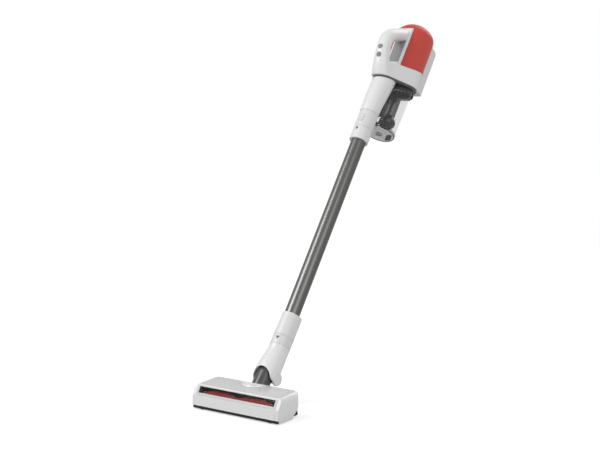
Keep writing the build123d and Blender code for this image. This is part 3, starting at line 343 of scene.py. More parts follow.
@dataclass(frozen=True)
class PerforatedCover:
    """Soft-touch plastic pierced all over by staggered rows of small air holes, their dark insides painted
    shade.

    Args:
        name: The material's name.
        colour: Its colour.
        hole_shade: Painted shade in the holes, a dark colour standing in for the unlit space inside them.
        axis_at: Distance of the cover's axis from the stick's, in mm.
        radius: The cover's radius, in mm.
        pitch: Distance between holes, in mm.
        hole_r: A hole's radius, in mm.
        soft: Half the width of a hole's soft edge, in mm.
    """

    name: str
    colour: Colour
    hole_shade: Colour
    axis_at: float = 70.0
    radius: float = 53.0
    pitch: float = 2.6
    hole_r: float = 0.7
    soft: float = 0.15

    @staticmethod
    def from_middle(sketch: NodeSketch, place: bpy.types.NodeSocket, pitch: float) -> bpy.types.NodeSocket:
        """Return the distance from the middle of a hole's cell, along one direction."""
        part = sketch.math("SUBTRACT", sketch.math("FRACT", place), 0.5)
        return sketch.math("MULTIPLY", part, pitch)

    def material(self) -> bpy.types.Material:
        """Build the material."""
        sketch = NodeSketch(self.name)
        place = sketch.mapped(STICK.matrix)
        split = sketch.tree.nodes.new("ShaderNodeSeparateXYZ")
        sketch.link(place, split.inputs[0])
        across, behind, along = split.outputs
        behind = sketch.math("SUBTRACT", behind, self.axis_at)
        angle = sketch.math("ARCTAN2", across, behind)
        columns = round(2 * math.pi * self.radius / self.pitch)
        turn = sketch.math("MULTIPLY", angle, columns / (2 * math.pi))
        row_pitch = self.pitch * math.sin(math.radians(60))
        row = sketch.math("DIVIDE", along, row_pitch)
        odd = sketch.math("MULTIPLY", sketch.math("FLOORED_MODULO", sketch.math("FLOOR", row), 2.0), 0.5)
        column = sketch.math("ADD", turn, odd)
        side = self.from_middle(sketch, column, self.pitch)
        rise = self.from_middle(sketch, row, row_pitch)
        squares = sketch.math("ADD", sketch.math("POWER", side, 2.0), sketch.math("POWER", rise, 2.0))
        reach = sketch.math("SQRT", squares)
        edge = sketch.tree.nodes.new("ShaderNodeMapRange")
        edge.interpolation_type = "SMOOTHSTEP"
        edge.inputs["From Min"].default_value = self.hole_r - self.soft
        edge.inputs["From Max"].default_value = self.hole_r + self.soft
        sketch.link(reach, edge.inputs["Value"])
        solid = edge.outputs["Result"]
        clouds = sketch.noise(sketch.places, 30.0, 3.0)
        skin = sketch.blend(clouds, tinted(self.colour, 0.93), tinted(self.colour, 1.07))
        pierced = sketch.tree.nodes.new("ShaderNodeMix")
        pierced.data_type = "RGBA"
        sketch.link(solid, pierced.inputs["Factor"])
        # Painted shade: the holes get a flat dark colour for the unlit space behind them.
        pierced.inputs[6].default_value = (*self.hole_shade, 1)
        sketch.link(skin, pierced.inputs[7])
        sketch.colour(pierced.outputs[2])
        sketch.bump(solid, 0.5, 0.0004)
        sketch.set(Roughness=0.42, Sheen_Weight=0.05)
        return sketch.material


@dataclass(frozen=True)
class Tufting:
    """Nylon bristle or pleated cloth, with fine strands that vary in colour.

    Args:
        name: The material's name.
        colour: Its colour.
        strand: Strands per metre.
        rough: Roughness.
    """

    name: str
    colour: Colour
    strand: float = 900.0
    rough: float = 0.6

    def material(self) -> bpy.types.Material:
        """Build the material."""
        sketch = NodeSketch(self.name)
        strands = sketch.noise(sketch.places, self.strand, 2.0)
        patches = sketch.noise(sketch.places, 45.0, 2.0)
        both = sketch.math("MULTIPLY_ADD", strands, 0.6, sketch.math("MULTIPLY", patches, 0.4))
        sketch.colour(sketch.blend(both, tinted(self.colour, 0.5), tinted(self.colour, 1.5)))
        sketch.bump(strands, 0.6, 0.0003)
        sketch.set(Roughness=self.rough, Sheen_Weight=0.3)
        return sketch.material


@dataclass(frozen=True)
class SpunSteel:
    """Turned or brushed steel.

    Args:
        name: The material's name.
        colour: Its colour.
        rough: Mean roughness.
    """

    name: str
    colour: Colour
    rough: float = 0.28

    def material(self) -> bpy.types.Material:
        """Build the material."""
        sketch = NodeSketch(self.name)
        around = sketch.mapped(STICK.matrix @ Matrix.Scale(1 / MM, 4), (30.0, 30.0, 2400.0))
        rings = sketch.noise(around, 1.0, 2.0)
        sketch.colour(sketch.blend(rings, tinted(self.colour, 0.85), tinted(self.colour, 1.15)))
        sketch.roughness(sketch.spread(rings, self.rough - 0.06, self.rough + 0.1))
        sketch.set(Metallic=1.0)
        return sketch.material


WHITE = MouldedPlastic("shell_white", grey(0.74), 0.28, 0.4, 0.00002, 0.15)
FINISHES = {
    "shell_white": WHITE,
    "collar_white": MouldedPlastic("collar_white", grey(0.70), 0.32, 0.45),
    "band_light": MouldedPlastic("band_light", grey(0.68), 0.3, 0.42),
    "gasket_grey": MouldedPlastic("gasket_grey", (0.10, 0.10, 0.105), 0.5, 0.65, 0.00005),
    "collar_dark": MouldedPlastic("collar_dark", grey(0.03), 0.2, 0.3, 0.00002, 0.2),
    # Its second colour is painted shade inside the air holes.
    "cover_red": PerforatedCover("cover_red", (0.7, 0.056, 0.038), (0.2, 0.012, 0.01)),
    "battery_grey": MouldedPlastic("battery_grey", (0.66, 0.67, 0.675), 0.34, 0.48),
    # Dark grey for the stick's joint lines, and for the painted shade round the top plate and the painted
    # shadow at the lip's foot.
    "seam_and_shade_grey": MouldedPlastic("seam_and_shade_grey", grey(0.30), 0.5, 0.6),
    "mark_grey": MouldedPlastic("mark_grey", grey(0.10), 0.5, 0.6),
    "panel_grey": MouldedPlastic("panel_grey", (0.26, 0.27, 0.27), 0.3, 0.4),
    "plate_silver": MouldedPlastic("plate_silver", grey(0.57), 0.24, 0.36, 0.00001, 0.25),
    "button_grey": MouldedPlastic("button_grey", (0.14, 0.145, 0.15), 0.35, 0.5),
    "key_white": MouldedPlastic("key_white", grey(0.62), 0.35, 0.5),
    "tube_metal": AnodisedTube("tube_metal", (0.17, 0.17, 0.165), 0.3),
    "liner_black": MouldedPlastic("liner_black", grey(0.03), 0.4, 0.55),
    "duct_dark": MouldedPlastic("duct_dark", (0.06, 0.06, 0.063), 0.24, 0.36, 0.00002, 0.2),
    "trim_black": MouldedPlastic("trim_black", grey(0.012), 0.4, 0.55),
    "lid_clear": ClearPlastic("lid_clear", grey(0.06), 0.6, 0.08, 0.15),
    "cup_clear": ClearPlastic("cup_clear", grey(0.25), 0.9, 0.05, 0.15),
    "window_smoked": ClearPlastic("window_smoked", (0.012, 0.016, 0.014), 0.78, 0.05, 0.08),
    "frame_silver": MouldedPlastic("frame_silver", grey(0.52), 0.25, 0.36, 0.00001, 0.3),
    "shroud_steel": SpunSteel("shroud_steel", grey(0.22)),
    "bell_dark": MouldedPlastic("bell_dark", grey(0.018), 0.12, 0.2, 0.00001, 0.4),
    "pin_steel": SpunSteel("pin_steel", grey(0.55), 0.22),
    "motor_metal": MouldedPlastic("motor_metal", (0.12, 0.12, 0.125), 0.3, 0.4),
    "rotor_plastic": MouldedPlastic("rotor_plastic", grey(0.16), 0.4, 0.5),
    "filter_pleats": Tufting("filter_pleats", grey(0.7), 2500.0, 0.85),
    "bristle_red": Tufting("bristle_red", (0.62, 0.03, 0.035), 1800.0, 0.55),
    "belt_rubber": MouldedPlastic("belt_rubber", grey(0.02), 0.6, 0.75, 0.00008),
    "wheel_rubber": MouldedPlastic("wheel_rubber", grey(0.025), 0.5, 0.65, 0.00006),
}


# ---------------------------------------------------------------- modelling helpers


def settle(piece: bpy.types.Object, matrix: Matrix) -> bpy.types.Object:
    """Move a piece built in a frame's millimetres into the row frame and apply it.

    Args:
        piece: The piece, with its place in its object's transform or mesh.
        matrix: The frame's matrix.

    Returns:
        The same piece, unturned and unscaled at the origin.
    """
    bpy.ops.object.select_all(action="DESELECT")
    piece.select_set(True)
    bpy.context.view_layer.objects.active = piece
    piece.matrix_world = matrix @ piece.matrix_world
    bpy.ops.object.transform_apply(location=True, rotation=True, scale=True)
    return piece


def apply_modifiers(piece: bpy.types.Object) -> None:
    """Apply all of a piece's modifiers."""
    bpy.ops.object.select_all(action="DESELECT")
    piece.select_set(True)
    bpy.context.view_layer.objects.active = piece
    for modifier in list(piece.modifiers):
        bpy.ops.object.modifier_apply(modifier=modifier.name)


def joined(pieces: Sequence[bpy.types.Object], name: str) -> bpy.types.Object:
    """Join pieces into one of that name.

    Args:
        pieces: The pieces, of which the first stays.
        name: The name of the result.

    Returns:
        The joined piece.
    """
    bpy.ops.object.select_all(action="DESELECT")
    for piece in pieces:
        piece.select_set(True)
    bpy.context.view_layer.objects.active = pieces[0]
    if len(pieces) > 1:
        bpy.ops.object.join()
    pieces[0].name = name
    pieces[0].data.name = name
    return pieces[0]


def round_edges(piece: bpy.types.Object, width: float, segments: int = 3, angle: float = 30.0) -> None:
    """Bevel a piece's sharp edges and smooth it, then apply.

    Args:
        piece: The piece.
        width: Bevel width in the piece's own units.
        segments: Segments in the bevel.
        angle: Degrees past which an edge is sharp.
    """
    bevel = piece.modifiers.new("rounding", "BEVEL")
    bevel.width = width
    bevel.segments = segments
    bevel.limit_method = "ANGLE"
    bevel.angle_limit = math.radians(angle)
    apply_modifiers(piece)
    bpy.ops.object.shade_smooth_by_angle(angle=math.radians(angle))


class Assembly:
    """Shared calls of the sub-assemblies: dressing CAD nodes and placing new pieces."""

    def __init__(self, frame: dict, materials: dict[str, bpy.types.Material]) -> None:
        """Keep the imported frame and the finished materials."""
        self.frame = frame
        self.materials = materials

    def dress(self, slot: str, *nodes: str) -> None:
        """Give CAD nodes a finish.

        Args:
            slot: Name of the finish.
            nodes: The nodes.
        """
        for name in nodes:
            node = self.frame["nodes"][name]
            node.data.materials.clear()
            node.data.materials.append(self.materials[slot])

    def place(self, piece: bpy.types.Object, body: str, finish: str, slot: str) -> bpy.types.Object:
        """Finish a new piece: its material and the body it rides on.

        Args:
            piece: The piece, already in the row frame.
            body: The body that it moves with.
            finish: Its finish.
            slot: The record's slot that the finish stands for. Not used.

        Returns:
            The piece.
        """
        piece.data.materials.clear()
        piece.data.materials.append(self.materials[finish])
        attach(piece, body)
        LOG.info("%s: %d faces on %s", piece.name, len(piece.data.polygons), body)
        return piece


# ---------------------------------------------------------------- floor head


@dataclass(frozen=True)
class BrushRows:
    """Sizes of the brush roll's bristle rows, in mm and degrees.

    Args:
        centre_y: The roll's axis behind the head's front.
        centre_z: The roll's axis above the floor.
        root_r: Radius at which the bristles start.
        tip_r: Radius that they reach.
        half: Half the rows' length.
        bands: Groups of rows round the roll.
        rows: Rows in a group.
        row_angle: Degrees between rows.
        step: Distance between tufts in a row.
        crests: Where along the roll each half's crest is.
        swing: Degrees that a row sweeps between crest and end.
        crest_angle: The first row's angle at a crest.
        thick: A row's thickness.
        jitter: Degrees that a tuft may lean off its row.
        uneven: Length by which tufts differ.
        sides: Sides of a tuft.
        tuft_root: A tuft's radius at its root.
        tuft_tip: A tuft's radius at its tip.
    """

    centre_y: float = 30.5
    centre_z: float = 24.5
    root_r: float = 13.8
    tip_r: float = 22.0
    half: float = 101.0
    bands: int = 2
    rows: int = 8
    row_angle: float = 9.0
    step: float = 2.3
    crests: tuple[float, float] = (-50.0, 50.0)
    swing: float = 42.0
    crest_angle: float = 88.0
    thick: float = 2.0
    jitter: float = 2.0
    uneven: float = 0.8
    sides: int = 6
    tuft_root: float = 0.9
    tuft_tip: float = 1.9


@dataclass(frozen=True)
class TopPlate:
    """The head's silver top plate, in mm from the head's front edge on the floor.

    Args:
        low: The plate's front edge, as (y, z) on the cover's top.
        high: Its rear edge.
        half: Half its width.
        corner: Radius of its corners in plan.
        proud: Height of its face over the cover.
        seam: Width of the dark band round it, painted shade of the groove at its edge.
        seam_share: The dark band's height as a share of the plate's.
        edge_share: The rounding of its edges as a share of its height.
        corner_steps: Segments in each corner.
    """

    low: tuple[float, float] = (19.6, 56.9)
    high: tuple[float, float] = (83.0, 61.1)
    half: float = 114.6
    corner: float = 9.0
    proud: float = 0.5
    seam: float = 0.7
    seam_share: float = 0.4
    edge_share: float = 0.5
    corner_steps: int = 10


@dataclass(frozen=True)
class Lip:
    """The raised white lip in front of the elbow's socket, in mm in the head's frame.

    Args:
        centre: Its middle, as (y, z).
        lean: Degrees that it rises towards the back.
        radius: The rolled rim's radius.
        rim: The rim's thickness.
        dish: Height of the flat inside the rim over the plate.
        seam: Thickness of the dark ring outside the rim, painted shadow that the lip casts on the plate.
        cut: How far back the lip reaches.
    """

    centre: tuple[float, float] = (84.0, 61.2)
    lean: float = 3.78
    radius: float = 32.0
    rim: float = 2.6
    dish: float = 1.2
    seam: float = 0.9
    cut: float = 77.0


class FloorHead(Assembly):
    """The floor head: cover, end caps, sole, window, brush roll, wheels."""

    def build(self) -> None:
        """Dress the CAD nodes and add the bristle rows."""
        self.dress("shell_white", "head_cover", "end_cap_left", "end_cap_right")
        self.dress("trim_black", "sole_plate", "brush_chamber")
        self.dress("key_white", "cap_slider")
        self.dress("window_smoked", "window_pane")
        self.dress("frame_silver", "window_frame")
        self.dress("bell_dark", "brush_core")
        self.dress("motor_metal", "head_motor")
        self.dress("rotor_plastic", "motor_pulley")
        self.dress("belt_rubber", "drive_belt")
        wheels = ("rear_wheel_left", "rear_wheel_right", "front_roller_left", "front_roller_right")
        self.dress("wheel_rubber", *wheels)
        self.bristle_rows(BrushRows())
        self.top_plate(TopPlate())
        self.lip(Lip())

    def slab(self, sizes: TopPlate, name: str, margin: float, proud: float) -> bpy.types.Object:
        """Return a thin slab with rounded corners lying on the cover's top.

        Args:
            sizes: The plate's sizes.
            name: The piece's name.
            margin: How far it reaches past the plate all round.
            proud: Height of its face over the cover.
        """
        rise = sizes.high[1] - sizes.low[1]
        run = sizes.high[0] - sizes.low[0]
        bpy.ops.mesh.primitive_cube_add(size=1.0)
        slab = bpy.context.object
        slab.name = name
        slab.scale = (2 * (sizes.half + margin), math.hypot(run, rise) + 2 * margin, 2 * proud)
        bpy.ops.object.transform_apply(location=True, rotation=True, scale=True)
        points = slab.data.vertices
        corners = []
        for edge in slab.data.edges:
            start, end = (points[index].co for index in edge.vertices)
            if (end - start).xy.length < MM:
                corners.append(edge.index)
        bpy.ops.object.mode_set(mode="EDIT")
        bpy.ops.mesh.select_mode(type="EDGE")
        bpy.ops.mesh.select_all(action="DESELECT")
        bpy.ops.object.mode_set(mode="OBJECT")
        for index in corners:
            slab.data.edges[index].select = True
        bpy.ops.object.mode_set(mode="EDIT")
        bpy.ops.mesh.bevel(offset=sizes.corner + margin, segments=sizes.corner_steps, affect="EDGES")
        bpy.ops.object.mode_set(mode="OBJECT")
        round_edges(slab, proud * sizes.edge_share, 3)
        middle = Vector((0, sizes.low[0] + run / 2, sizes.low[1] + rise / 2))
        slab.matrix_world = Matrix.Translation(middle) @ Matrix.Rotation(math.atan2(rise, run), 4, "X")
        return settle(slab, HEAD.matrix)

    def top_plate(self, sizes: TopPlate) -> None:
        """Add the silver plate on the cover's top with a dark band round it, painted shade of the groove at
        its edge.
        """
        # A slightly larger dark slab under the plate: painted shade in the groove round it.
        seam = self.slab(sizes, "plate_painted_shade", sizes.seam, sizes.proud * sizes.seam_share)
        self.place(seam, "head", "seam_and_shade_grey", "duct_dark")
        plate = self.slab(sizes, "top_plate", 0.0, sizes.proud)
        self.place(plate, "head", "plate_silver", "frame_silver")

    def ring(self, radius: float, thick: float) -> bpy.types.Object:
        """Return a lying ring round the origin."""
        bpy.ops.mesh.primitive_torus_add(
            major_radius=radius,
            minor_radius=thick,
            major_segments=96,
            minor_segments=14,
        )
        return bpy.context.object

    def lip(self, sizes: Lip) -> None:
        """Add the lip with its rolled rim and a dark ring at its foot, painted shadow of the lip on the
        plate.
        """
        bpy.ops.mesh.primitive_cylinder_add(vertices=96, radius=sizes.radius, depth=2 * sizes.dish)
        dish = bpy.context.object
        rim = self.ring(sizes.radius, sizes.rim)
        # Dark ring round the lip's foot: painted shadow of the raised lip.
        seam = self.ring(sizes.radius + sizes.rim, sizes.seam)
        seam.name = "lip_painted_shadow"
        white = joined([dish, rim], "socket_lip")
        place = Matrix.Translation((0, *sizes.centre)) @ Matrix.Rotation(math.radians(sizes.lean), 4, "X")
        looks = ((white, "shell_white", "shell_white"), (seam, "seam_and_shade_grey", "duct_dark"))
        for piece, finish, slot in looks:
            bpy.ops.object.select_all(action="DESELECT")
            piece.select_set(True)
            bpy.context.view_layer.objects.active = piece
            piece.matrix_world = place
            bpy.ops.object.transform_apply(location=True, rotation=True, scale=True)
            bpy.ops.object.mode_set(mode="EDIT")
            bpy.ops.mesh.select_all(action="SELECT")
            bpy.ops.mesh.bisect(
                plane_co=(0, sizes.cut, 0),
                plane_no=(0, 1, 0),
                clear_outer=True,
                use_fill=True,
            )
            bpy.ops.object.mode_set(mode="OBJECT")
            settle(piece, HEAD.matrix)
            bpy.ops.object.shade_smooth_by_angle(angle=math.radians(40))
            self.place(piece, "head", finish, slot)

    @staticmethod
    def row_angle(sizes: BrushRows, x: float) -> float:
        """Return the bristle row's angle at x, rising to a crest over each half of the roll."""
        low, high = sizes.crests
        span = (high - low) / 2
        phase = (x - low) / span
        return sizes.crest_angle - sizes.swing * (0.5 - 0.5 * math.cos(math.pi * phase))

    @staticmethod
    def tuft(sizes: BrushRows) -> bpy.types.Object:
        """Return one tuft of bristle, a flared bundle along +Z from the roll's core."""
        bpy.ops.mesh.primitive_cone_add(
            vertices=sizes.sides,
            radius1=sizes.tuft_root,
            radius2=sizes.tuft_tip,
            depth=1.0,
            end_fill_type="TRIFAN",
        )
        return bpy.context.object

    def bristle_rows(self, sizes: BrushRows) -> None:
        """Build the bristle rows in place of the solid sleeve."""
        chance = random.Random(RANDOM_SEED)
        pattern = self.tuft(sizes)
        tufts = []
        count = int(2 * sizes.half / sizes.step) + 1
        axis = Matrix.Translation((0, sizes.centre_y, sizes.centre_z))
        lines = [(band, row) for band in range(sizes.bands) for row in range(sizes.rows)]
        for band, row in lines:
            turn_to = band * 360 / sizes.bands - row * sizes.row_angle
            for index in range(count):
                x = -sizes.half + index * sizes.step
                angle = self.row_angle(sizes, x) + turn_to + chance.uniform(-sizes.jitter, sizes.jitter)
                length = sizes.tip_r - sizes.root_r - chance.uniform(0.0, sizes.uneven)
                turn = Matrix.Rotation(math.radians(90.0 - angle), 4, "X")
                reach = Matrix.Translation((x, 0, sizes.root_r + length / 2))
                tuft = pattern.copy()
                tuft.data = pattern.data.copy()
                bpy.context.collection.objects.link(tuft)
                size = Matrix.Diagonal((1.0, sizes.thick / 2, length, 1.0))
                tuft.matrix_world = axis @ turn @ reach @ size
                tufts.append(tuft)
        bpy.data.objects.remove(pattern)
        rows = joined(tufts, "bristle_rows")
        settle(rows, HEAD.matrix)
        self.place(rows, "brush_roll", "bristle_red", "bristle_red")
        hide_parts("brush_bristles")


# ---------------------------------------------------------------- neck, wand, hand unit


@dataclass(frozen=True)
class Seam:
    """A thin seam line round the stick.

    Args:
        name: The piece's name.
        body: The body that it moves with.
        station: Its place up the stick, in mm.
        across: Half its width, in mm.
        deep: Half its depth, in mm.
        shift: Its middle's distance towards the bin, in mm.
    """

    name: str
    body: str
    station: float
    across: float
    deep: float
    shift: float


@dataclass(frozen=True)
class Pointer:
    """A small plain pointer mark on the stick's outside.

    Args:
        name: The piece's name.
        body: The body that it moves with.
        station: Its place up the stick, in mm.
        angle: Degrees round from the front towards +x.
        across: Half the stick's width there, in mm.
        deep: Half the stick's depth there, in mm.
        shift: The section's distance towards the bin, in mm.
        size: Half the mark's width, in mm.
    """

    name: str
    body: str
    station: float
    angle: float
    across: float
    deep: float
    shift: float
    size: float = 5.6


class StickTrim(Assembly):
    """Seam lines and pointer marks of the neck and the wand's socket."""

    seams = (
        Seam("neck_seam_low", "neck", 82.0, 24.85, 27.05, 1.5),
        Seam("neck_seam_high", "neck", 106.5, 24.85, 27.05, 1.9),
        Seam("socket_seam", "main_unit", 700.7, 24.65, 24.55, -0.6),
        Seam("sleeve_seam", "main_unit", 750.0, 24.9, 24.9, -0.6),
    )
    pointers = (
        Pointer("neck_pointer", "neck", 97.5, 6.0, 24.85, 27.05, 1.7),
        Pointer("socket_pointer", "main_unit", 693.0, -6.0, 24.6, 24.5, -0.6),
    )

    def build(self) -> None:
        """Add all seams and marks."""
        for seam in self.seams:
            self.seam(seam)
        for pointer in self.pointers:
            self.pointer(pointer)

    def seam(self, seam: Seam) -> None:
        """Add one seam line, a fine bead round the joint."""
        bpy.ops.mesh.primitive_torus_add(
            major_radius=1.0,
            minor_radius=0.012,
            major_segments=96,
            minor_segments=8,
            location=(0, seam.shift, seam.station),
        )
        bead = bpy.context.object
        bead.scale = (seam.across, seam.deep, 22.0)
        bead.name = seam.name
        settle(bead, STICK.matrix)
        bpy.ops.object.shade_smooth()
        self.place(bead, seam.body, "seam_and_shade_grey", "band_light")

    def pointer(self, mark: Pointer) -> None:
        """Add one pointer mark, a flat triangle pointing down the stick."""
        turn = math.radians(mark.angle)
        across = mark.across * math.sin(turn)
        behind = mark.shift - mark.deep * math.cos(turn)
        bpy.ops.mesh.primitive_cylinder_add(vertices=3, radius=mark.size, depth=0.5)
        flat = bpy.context.object
        flat.name = mark.name
        facing = Matrix.Rotation(turn, 4, "Z") @ Matrix.Rotation(math.radians(90), 4, "X")
        point_down = Matrix.Rotation(math.radians(180), 4, "Z")
        flat.matrix_world = Matrix.Translation((across, behind, mark.station)) @ facing @ point_down
        settle(flat, STICK.matrix)
        round_edges(flat, 0.0002, 2)
        self.place(flat, mark.body, "mark_grey", "gasket_grey")


class Neck(Assembly):
    """The tilting neck, its elbow duct and the wand."""

    def build(self) -> None:
        """Dress the CAD nodes."""
        self.dress("shell_white", "neck_boot")
        self.dress("collar_white", "neck_collar")
        self.dress("band_light", "neck_band")
        self.dress("key_white", "neck_button")
        self.dress("duct_dark", "elbow_duct")
        self.dress("pin_steel", "hinge_pin")
        self.dress("tube_metal", "wand_tube")
        self.dress("liner_black", "wand_liner_low", "wand_liner_high")


@dataclass(frozen=True)
class PleatSizes:
    """Sizes of the pleated filter, in mm."""

    axis_at: float = 70.0
    low: float = 975.2
    high: float = 1031.6
    outer_r: float = 39.6
    inner_r: float = 33.0
    core_r: float = 20.4
    pleats: int = 44


@dataclass(frozen=True)
class LidSizes:
    """Sizes of the dust lid's rim and of the forked hook over it, in mm in the stick's frame."""

    axis_at: float = 70.0
    rim_at: float = 737.2
    rim_radius: float = 40.2
    rim_thick: float = 1.0
    hook_at: float = 46.0
    arm_wide: float = 4.0
    arm_thick: float = 3.0
    fork_lean: float = 28.0
    fork_apart: float = 4.5
    fork_at: float = 757.0
    fork_long: float = 13.0
    stem_at: float = 748.5
    stem_long: float = 9.0


@dataclass(frozen=True)
class ScrewSizes:
    """Sizes and places of the battery's screws, in mm in the stick's frame."""

    across: float = 26.0
    behind: float = 137.7
    stations: tuple[float, float] = (1024.0, 916.0)
    radius: float = 2.6
    thick: float = 0.5


class HandUnit(Assembly):
    """The hand unit with its motor, cover, battery and dust bin."""

    def build(self) -> None:
        """Dress the CAD nodes and add the filter's pleats."""
        self.dress("shell_white", "main_shell", "inlet_sleeve")
        self.dress("collar_white", "wand_socket")
        self.dress("band_light", "socket_band")
        self.dress("key_white", "wand_release")
        self.dress("gasket_grey", "gasket_ring")
        self.dress("panel_grey", "spine_panel")
        self.dress("button_grey", "power_button", "mode_button")
        self.dress("motor_metal", "motor_can")
        self.dress("rotor_plastic", "fan_rotor")
        self.dress("cover_red", "filter_cover")
        self.dress("liner_black", "filter_frame")
        self.dress("battery_grey", "battery_pack")
        self.dress("duct_dark", "cover_catch", "battery_latch")
        self.dress("cup_clear", "bin_cup")
        self.dress("collar_dark", "bin_collar", "inlet_chute", "bin_latch")
        self.dress("shroud_steel", "cyclone_shroud")
        self.dress("bell_dark", "cyclone_bell")
        self.dress("lid_clear", "bin_lid", "lid_knob")
        self.dress("pin_steel", "lid_pin")
        self.pleated_filter(PleatSizes())
        self.lid_rim(LidSizes())
        self.lid_hook(LidSizes())
        self.screws(ScrewSizes())

    def lid_rim(self, sizes: LidSizes) -> None:
        """Add the dark rim round the dust bin's lid."""
        bpy.ops.mesh.primitive_torus_add(
            major_radius=sizes.rim_radius,
            minor_radius=sizes.rim_thick,
            major_segments=96,
            minor_segments=12,
            location=(0, sizes.axis_at, sizes.rim_at),
        )
        rim = bpy.context.object
        rim.name = "lid_rim"
        settle(rim, STICK.matrix)
        bpy.ops.object.shade_smooth()
        self.place(rim, "bin_lid", "trim_black", "lid_clear")

    def lid_hook(self, sizes: LidSizes) -> None:
        """Add the forked hook that holds the lid, inside the cup's foot."""
        arms = []
        fork = (sizes.fork_at, sizes.fork_long)
        for lean, across, station, long in (
            (sizes.fork_lean, sizes.fork_apart, *fork),
            (-sizes.fork_lean, -sizes.fork_apart, *fork),
            (0.0, 0.0, sizes.stem_at, sizes.stem_long),
        ):
            bpy.ops.mesh.primitive_cube_add(size=1.0, location=(across, sizes.hook_at, station))
            arm = bpy.context.object
            arm.scale = (sizes.arm_wide, sizes.arm_thick, long)
            arm.rotation_euler = (0, math.radians(lean), 0)
            bpy.ops.object.transform_apply(location=True, rotation=True, scale=True)
            arms.append(arm)
        hook = joined(arms, "lid_hook")
        round_edges(hook, 0.5, 2)
        settle(hook, STICK.matrix)
        self.place(hook, "dust_bin", "trim_black", "collar_dark")

    def screws(self, sizes: ScrewSizes) -> None:
        """Add the screws in the battery's back."""
        heads = []
        places = [(side * sizes.across, station) for station in sizes.stations for side in (-1, 1)]
        facing = Matrix.Rotation(math.radians(90), 4, "X")
        for across, station in places:
            bpy.ops.mesh.primitive_cylinder_add(vertices=24, radius=sizes.radius, depth=sizes.thick)
            head = bpy.context.object
            head.matrix_world = Matrix.Translation((across, sizes.behind, station)) @ facing
            bpy.ops.object.transform_apply(location=True, rotation=True, scale=True)
            heads.append(head)
        screws = joined(heads, "battery_screws")
        round_edges(screws, 0.12, 2)
        settle(screws, STICK.matrix)
        self.place(screws, "battery", "pin_steel", "pin_steel")

    def pleated_filter(self, sizes: PleatSizes) -> None:
        """Build the pleated filter in place of its plain ring."""
        height = sizes.high - sizes.low
        bpy.ops.mesh.primitive_cylinder_add(
            vertices=2 * sizes.pleats,
            radius=sizes.outer_r,
            depth=height,
            location=(0, sizes.axis_at, sizes.low + height / 2),
            end_fill_type="NOTHING",
        )
        pleats = bpy.context.object
        for vertex in pleats.data.vertices:
            if round(math.atan2(vertex.co.y, vertex.co.x) / (math.pi / sizes.pleats)) % 2:
                vertex.co.x *= sizes.inner_r / sizes.outer_r
                vertex.co.y *= sizes.inner_r / sizes.outer_r
        solid = pleats.modifiers.new("cloth", "SOLIDIFY")
        solid.thickness = 0.8
        solid.offset = -1
        apply_modifiers(pleats)
        pleats.name = "filter_pleats"
        settle(pleats, STICK.matrix)
        self.place(pleats, "filter_cover", "filter_pleats", "filter_pleats")
        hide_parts("filter_core")


# ---------------------------------------------------------------- studio


@dataclass(frozen=True)
class SoftLamp:
    """A square soft lamp.

    Args:
        name: The lamp's name.
        at: Its place, in metres.
        size: Its side, in metres.
        power: Its power, in watts.
    """

    name: str
    at: Vector
    size: float
    power: float


LAMPS = (
    SoftLamp("key", Vector((-1.6, -2.2, 1.7)), 1.6, 56.0),
    SoftLamp("fill", Vector((2.6, -1.6, 0.9)), 2.2, 26.0),
    SoftLamp("back", Vector((0.4, 2.4, 1.6)), 1.8, 24.0),
)


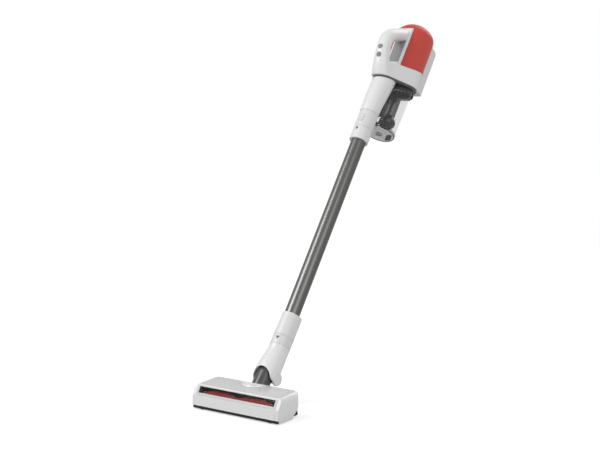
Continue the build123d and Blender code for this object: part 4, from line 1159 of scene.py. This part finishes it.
@dataclass(frozen=True)
class Studio:
    """Pale floor, soft lamps and the camera, in metres and degrees."""

    camera_at: Vector = Vector((1.77470, -2.87087, -0.02768))
    camera_turn: float = 35.45
    camera_tilt: float = 7.485
    focal_px: float = 1277.7
    frame_px: float = 600.0
    sensor: float = 36.0
    middle: Vector = Vector((0, -0.3, -0.45))
    world_level: float = 0.57
    floor_level: float = 0.55
    floor_glow: float = 0.55
    floor_half: float = 14.0
    fade_from: float = 0.8
    fade_to: float = 3.2

    def camera(self) -> None:
        """Add the camera and make it the scene's."""
        data = bpy.data.cameras.new("camera")
        data.sensor_width = self.sensor
        data.lens = self.focal_px * self.sensor / self.frame_px
        camera = bpy.data.objects.new("camera", data)
        bpy.context.scene.collection.objects.link(camera)
        camera.location = self.camera_at
        tilt = math.radians(90.0 - self.camera_tilt)
        camera.rotation_euler = (tilt, 0.0, math.radians(self.camera_turn))
        bpy.context.scene.camera = camera

    def lamp(self, lamp: SoftLamp) -> None:
        """Add a square soft lamp that faces the object's middle."""
        data = bpy.data.lights.new(lamp.name, "AREA")
        data.shape = "SQUARE"
        data.size = lamp.size
        data.energy = lamp.power
        light = bpy.data.objects.new(lamp.name, data)
        bpy.context.scene.collection.objects.link(light)
        light.location = lamp.at
        light.rotation_euler = (self.middle - lamp.at).to_track_quat("-Z", "Y").to_euler()

    def world(self) -> None:
        """Light the scene evenly and show white behind the object."""
        world = bpy.data.worlds.new("studio")
        world.use_nodes = True
        bpy.context.scene.world = world
        tree = world.node_tree
        back = tree.nodes["Background"]
        back.inputs["Color"].default_value = (1, 1, 1, 1)
        path = tree.nodes.new("ShaderNodeLightPath")
        seen = tree.nodes.new("ShaderNodeMath")
        seen.operation = "MAXIMUM"
        tree.links.new(path.outputs["Is Camera Ray"], seen.inputs[0])
        tree.links.new(path.outputs["Is Transmission Ray"], seen.inputs[1])
        level = tree.nodes.new("ShaderNodeMapRange")
        level.inputs["To Min"].default_value = self.world_level
        level.inputs["To Max"].default_value = 1.0
        tree.links.new(seen.outputs[0], level.inputs["Value"])
        tree.links.new(level.outputs[0], back.inputs["Strength"])

    def floor(self, height: float) -> None:
        """Add the pale floor under the object.

        Args:
            height: Its height in metres.
        """
        bpy.ops.mesh.primitive_plane_add(size=2 * self.floor_half, location=(0, 0, height))
        floor = bpy.context.object
        floor.name = "floor"
        material = bpy.data.materials.new("floor")
        material.use_nodes = True
        tree = material.node_tree
        shader = tree.nodes["Principled BSDF"]
        shader.inputs["Base Color"].default_value = (*grey(self.floor_level), 1)
        shader.inputs["Roughness"].default_value = 0.9
        shader.inputs["Specular IOR Level"].default_value = 0.0
        glow = tree.nodes.new("ShaderNodeEmission")
        path = tree.nodes.new("ShaderNodeLightPath")
        lift = tree.nodes.new("ShaderNodeMath")
        lift.operation = "MULTIPLY"
        lift.inputs[1].default_value = self.floor_glow
        tree.links.new(path.outputs["Is Camera Ray"], lift.inputs[0])
        tree.links.new(lift.outputs[0], glow.inputs["Strength"])
        total = tree.nodes.new("ShaderNodeAddShader")
        tree.links.new(shader.outputs[0], total.inputs[0])
        tree.links.new(glow.outputs[0], total.inputs[1])
        place = tree.nodes.new("ShaderNodeTexCoord")
        reach = tree.nodes.new("ShaderNodeVectorMath")
        reach.operation = "LENGTH"
        tree.links.new(place.outputs["Object"], reach.inputs[0])
        fade = tree.nodes.new("ShaderNodeMapRange")
        fade.interpolation_type = "SMOOTHSTEP"
        fade.inputs["From Min"].default_value = self.fade_from
        fade.inputs["From Max"].default_value = self.fade_to
        tree.links.new(reach.outputs["Value"], fade.inputs["Value"])
        seen = tree.nodes.new("ShaderNodeMath")
        seen.operation = "MULTIPLY"
        tree.links.new(fade.outputs["Result"], seen.inputs[0])
        tree.links.new(path.outputs["Is Camera Ray"], seen.inputs[1])
        white = tree.nodes.new("ShaderNodeEmission")
        merged = tree.nodes.new("ShaderNodeMixShader")
        tree.links.new(seen.outputs[0], merged.inputs[0])
        tree.links.new(total.outputs[0], merged.inputs[1])
        tree.links.new(white.outputs[0], merged.inputs[2])
        tree.links.new(merged.outputs[0], tree.nodes["Material Output"].inputs["Surface"])
        floor.data.materials.append(material)

    def build(self, floor_height: float) -> None:
        """Build the whole studio."""
        bpy.context.scene.view_settings.view_transform = "Standard"
        self.camera()
        self.world()
        self.floor(floor_height)
        for lamp in LAMPS:
            self.lamp(lamp)


def main() -> None:
    """Build the dressed vacuum in its studio."""
    logging.basicConfig(level=logging.INFO)
    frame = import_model()
    materials = {slot: finish.material() for slot, finish in FINISHES.items()}
    Studio().build(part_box("rear_wheel_left")[0].z)
    for assembly in (FloorHead, Neck, StickTrim, HandUnit):
        assembly(frame, materials).build()
        LOG.info("%s built", assembly.__name__)


if __name__ == "__main__":
    main()
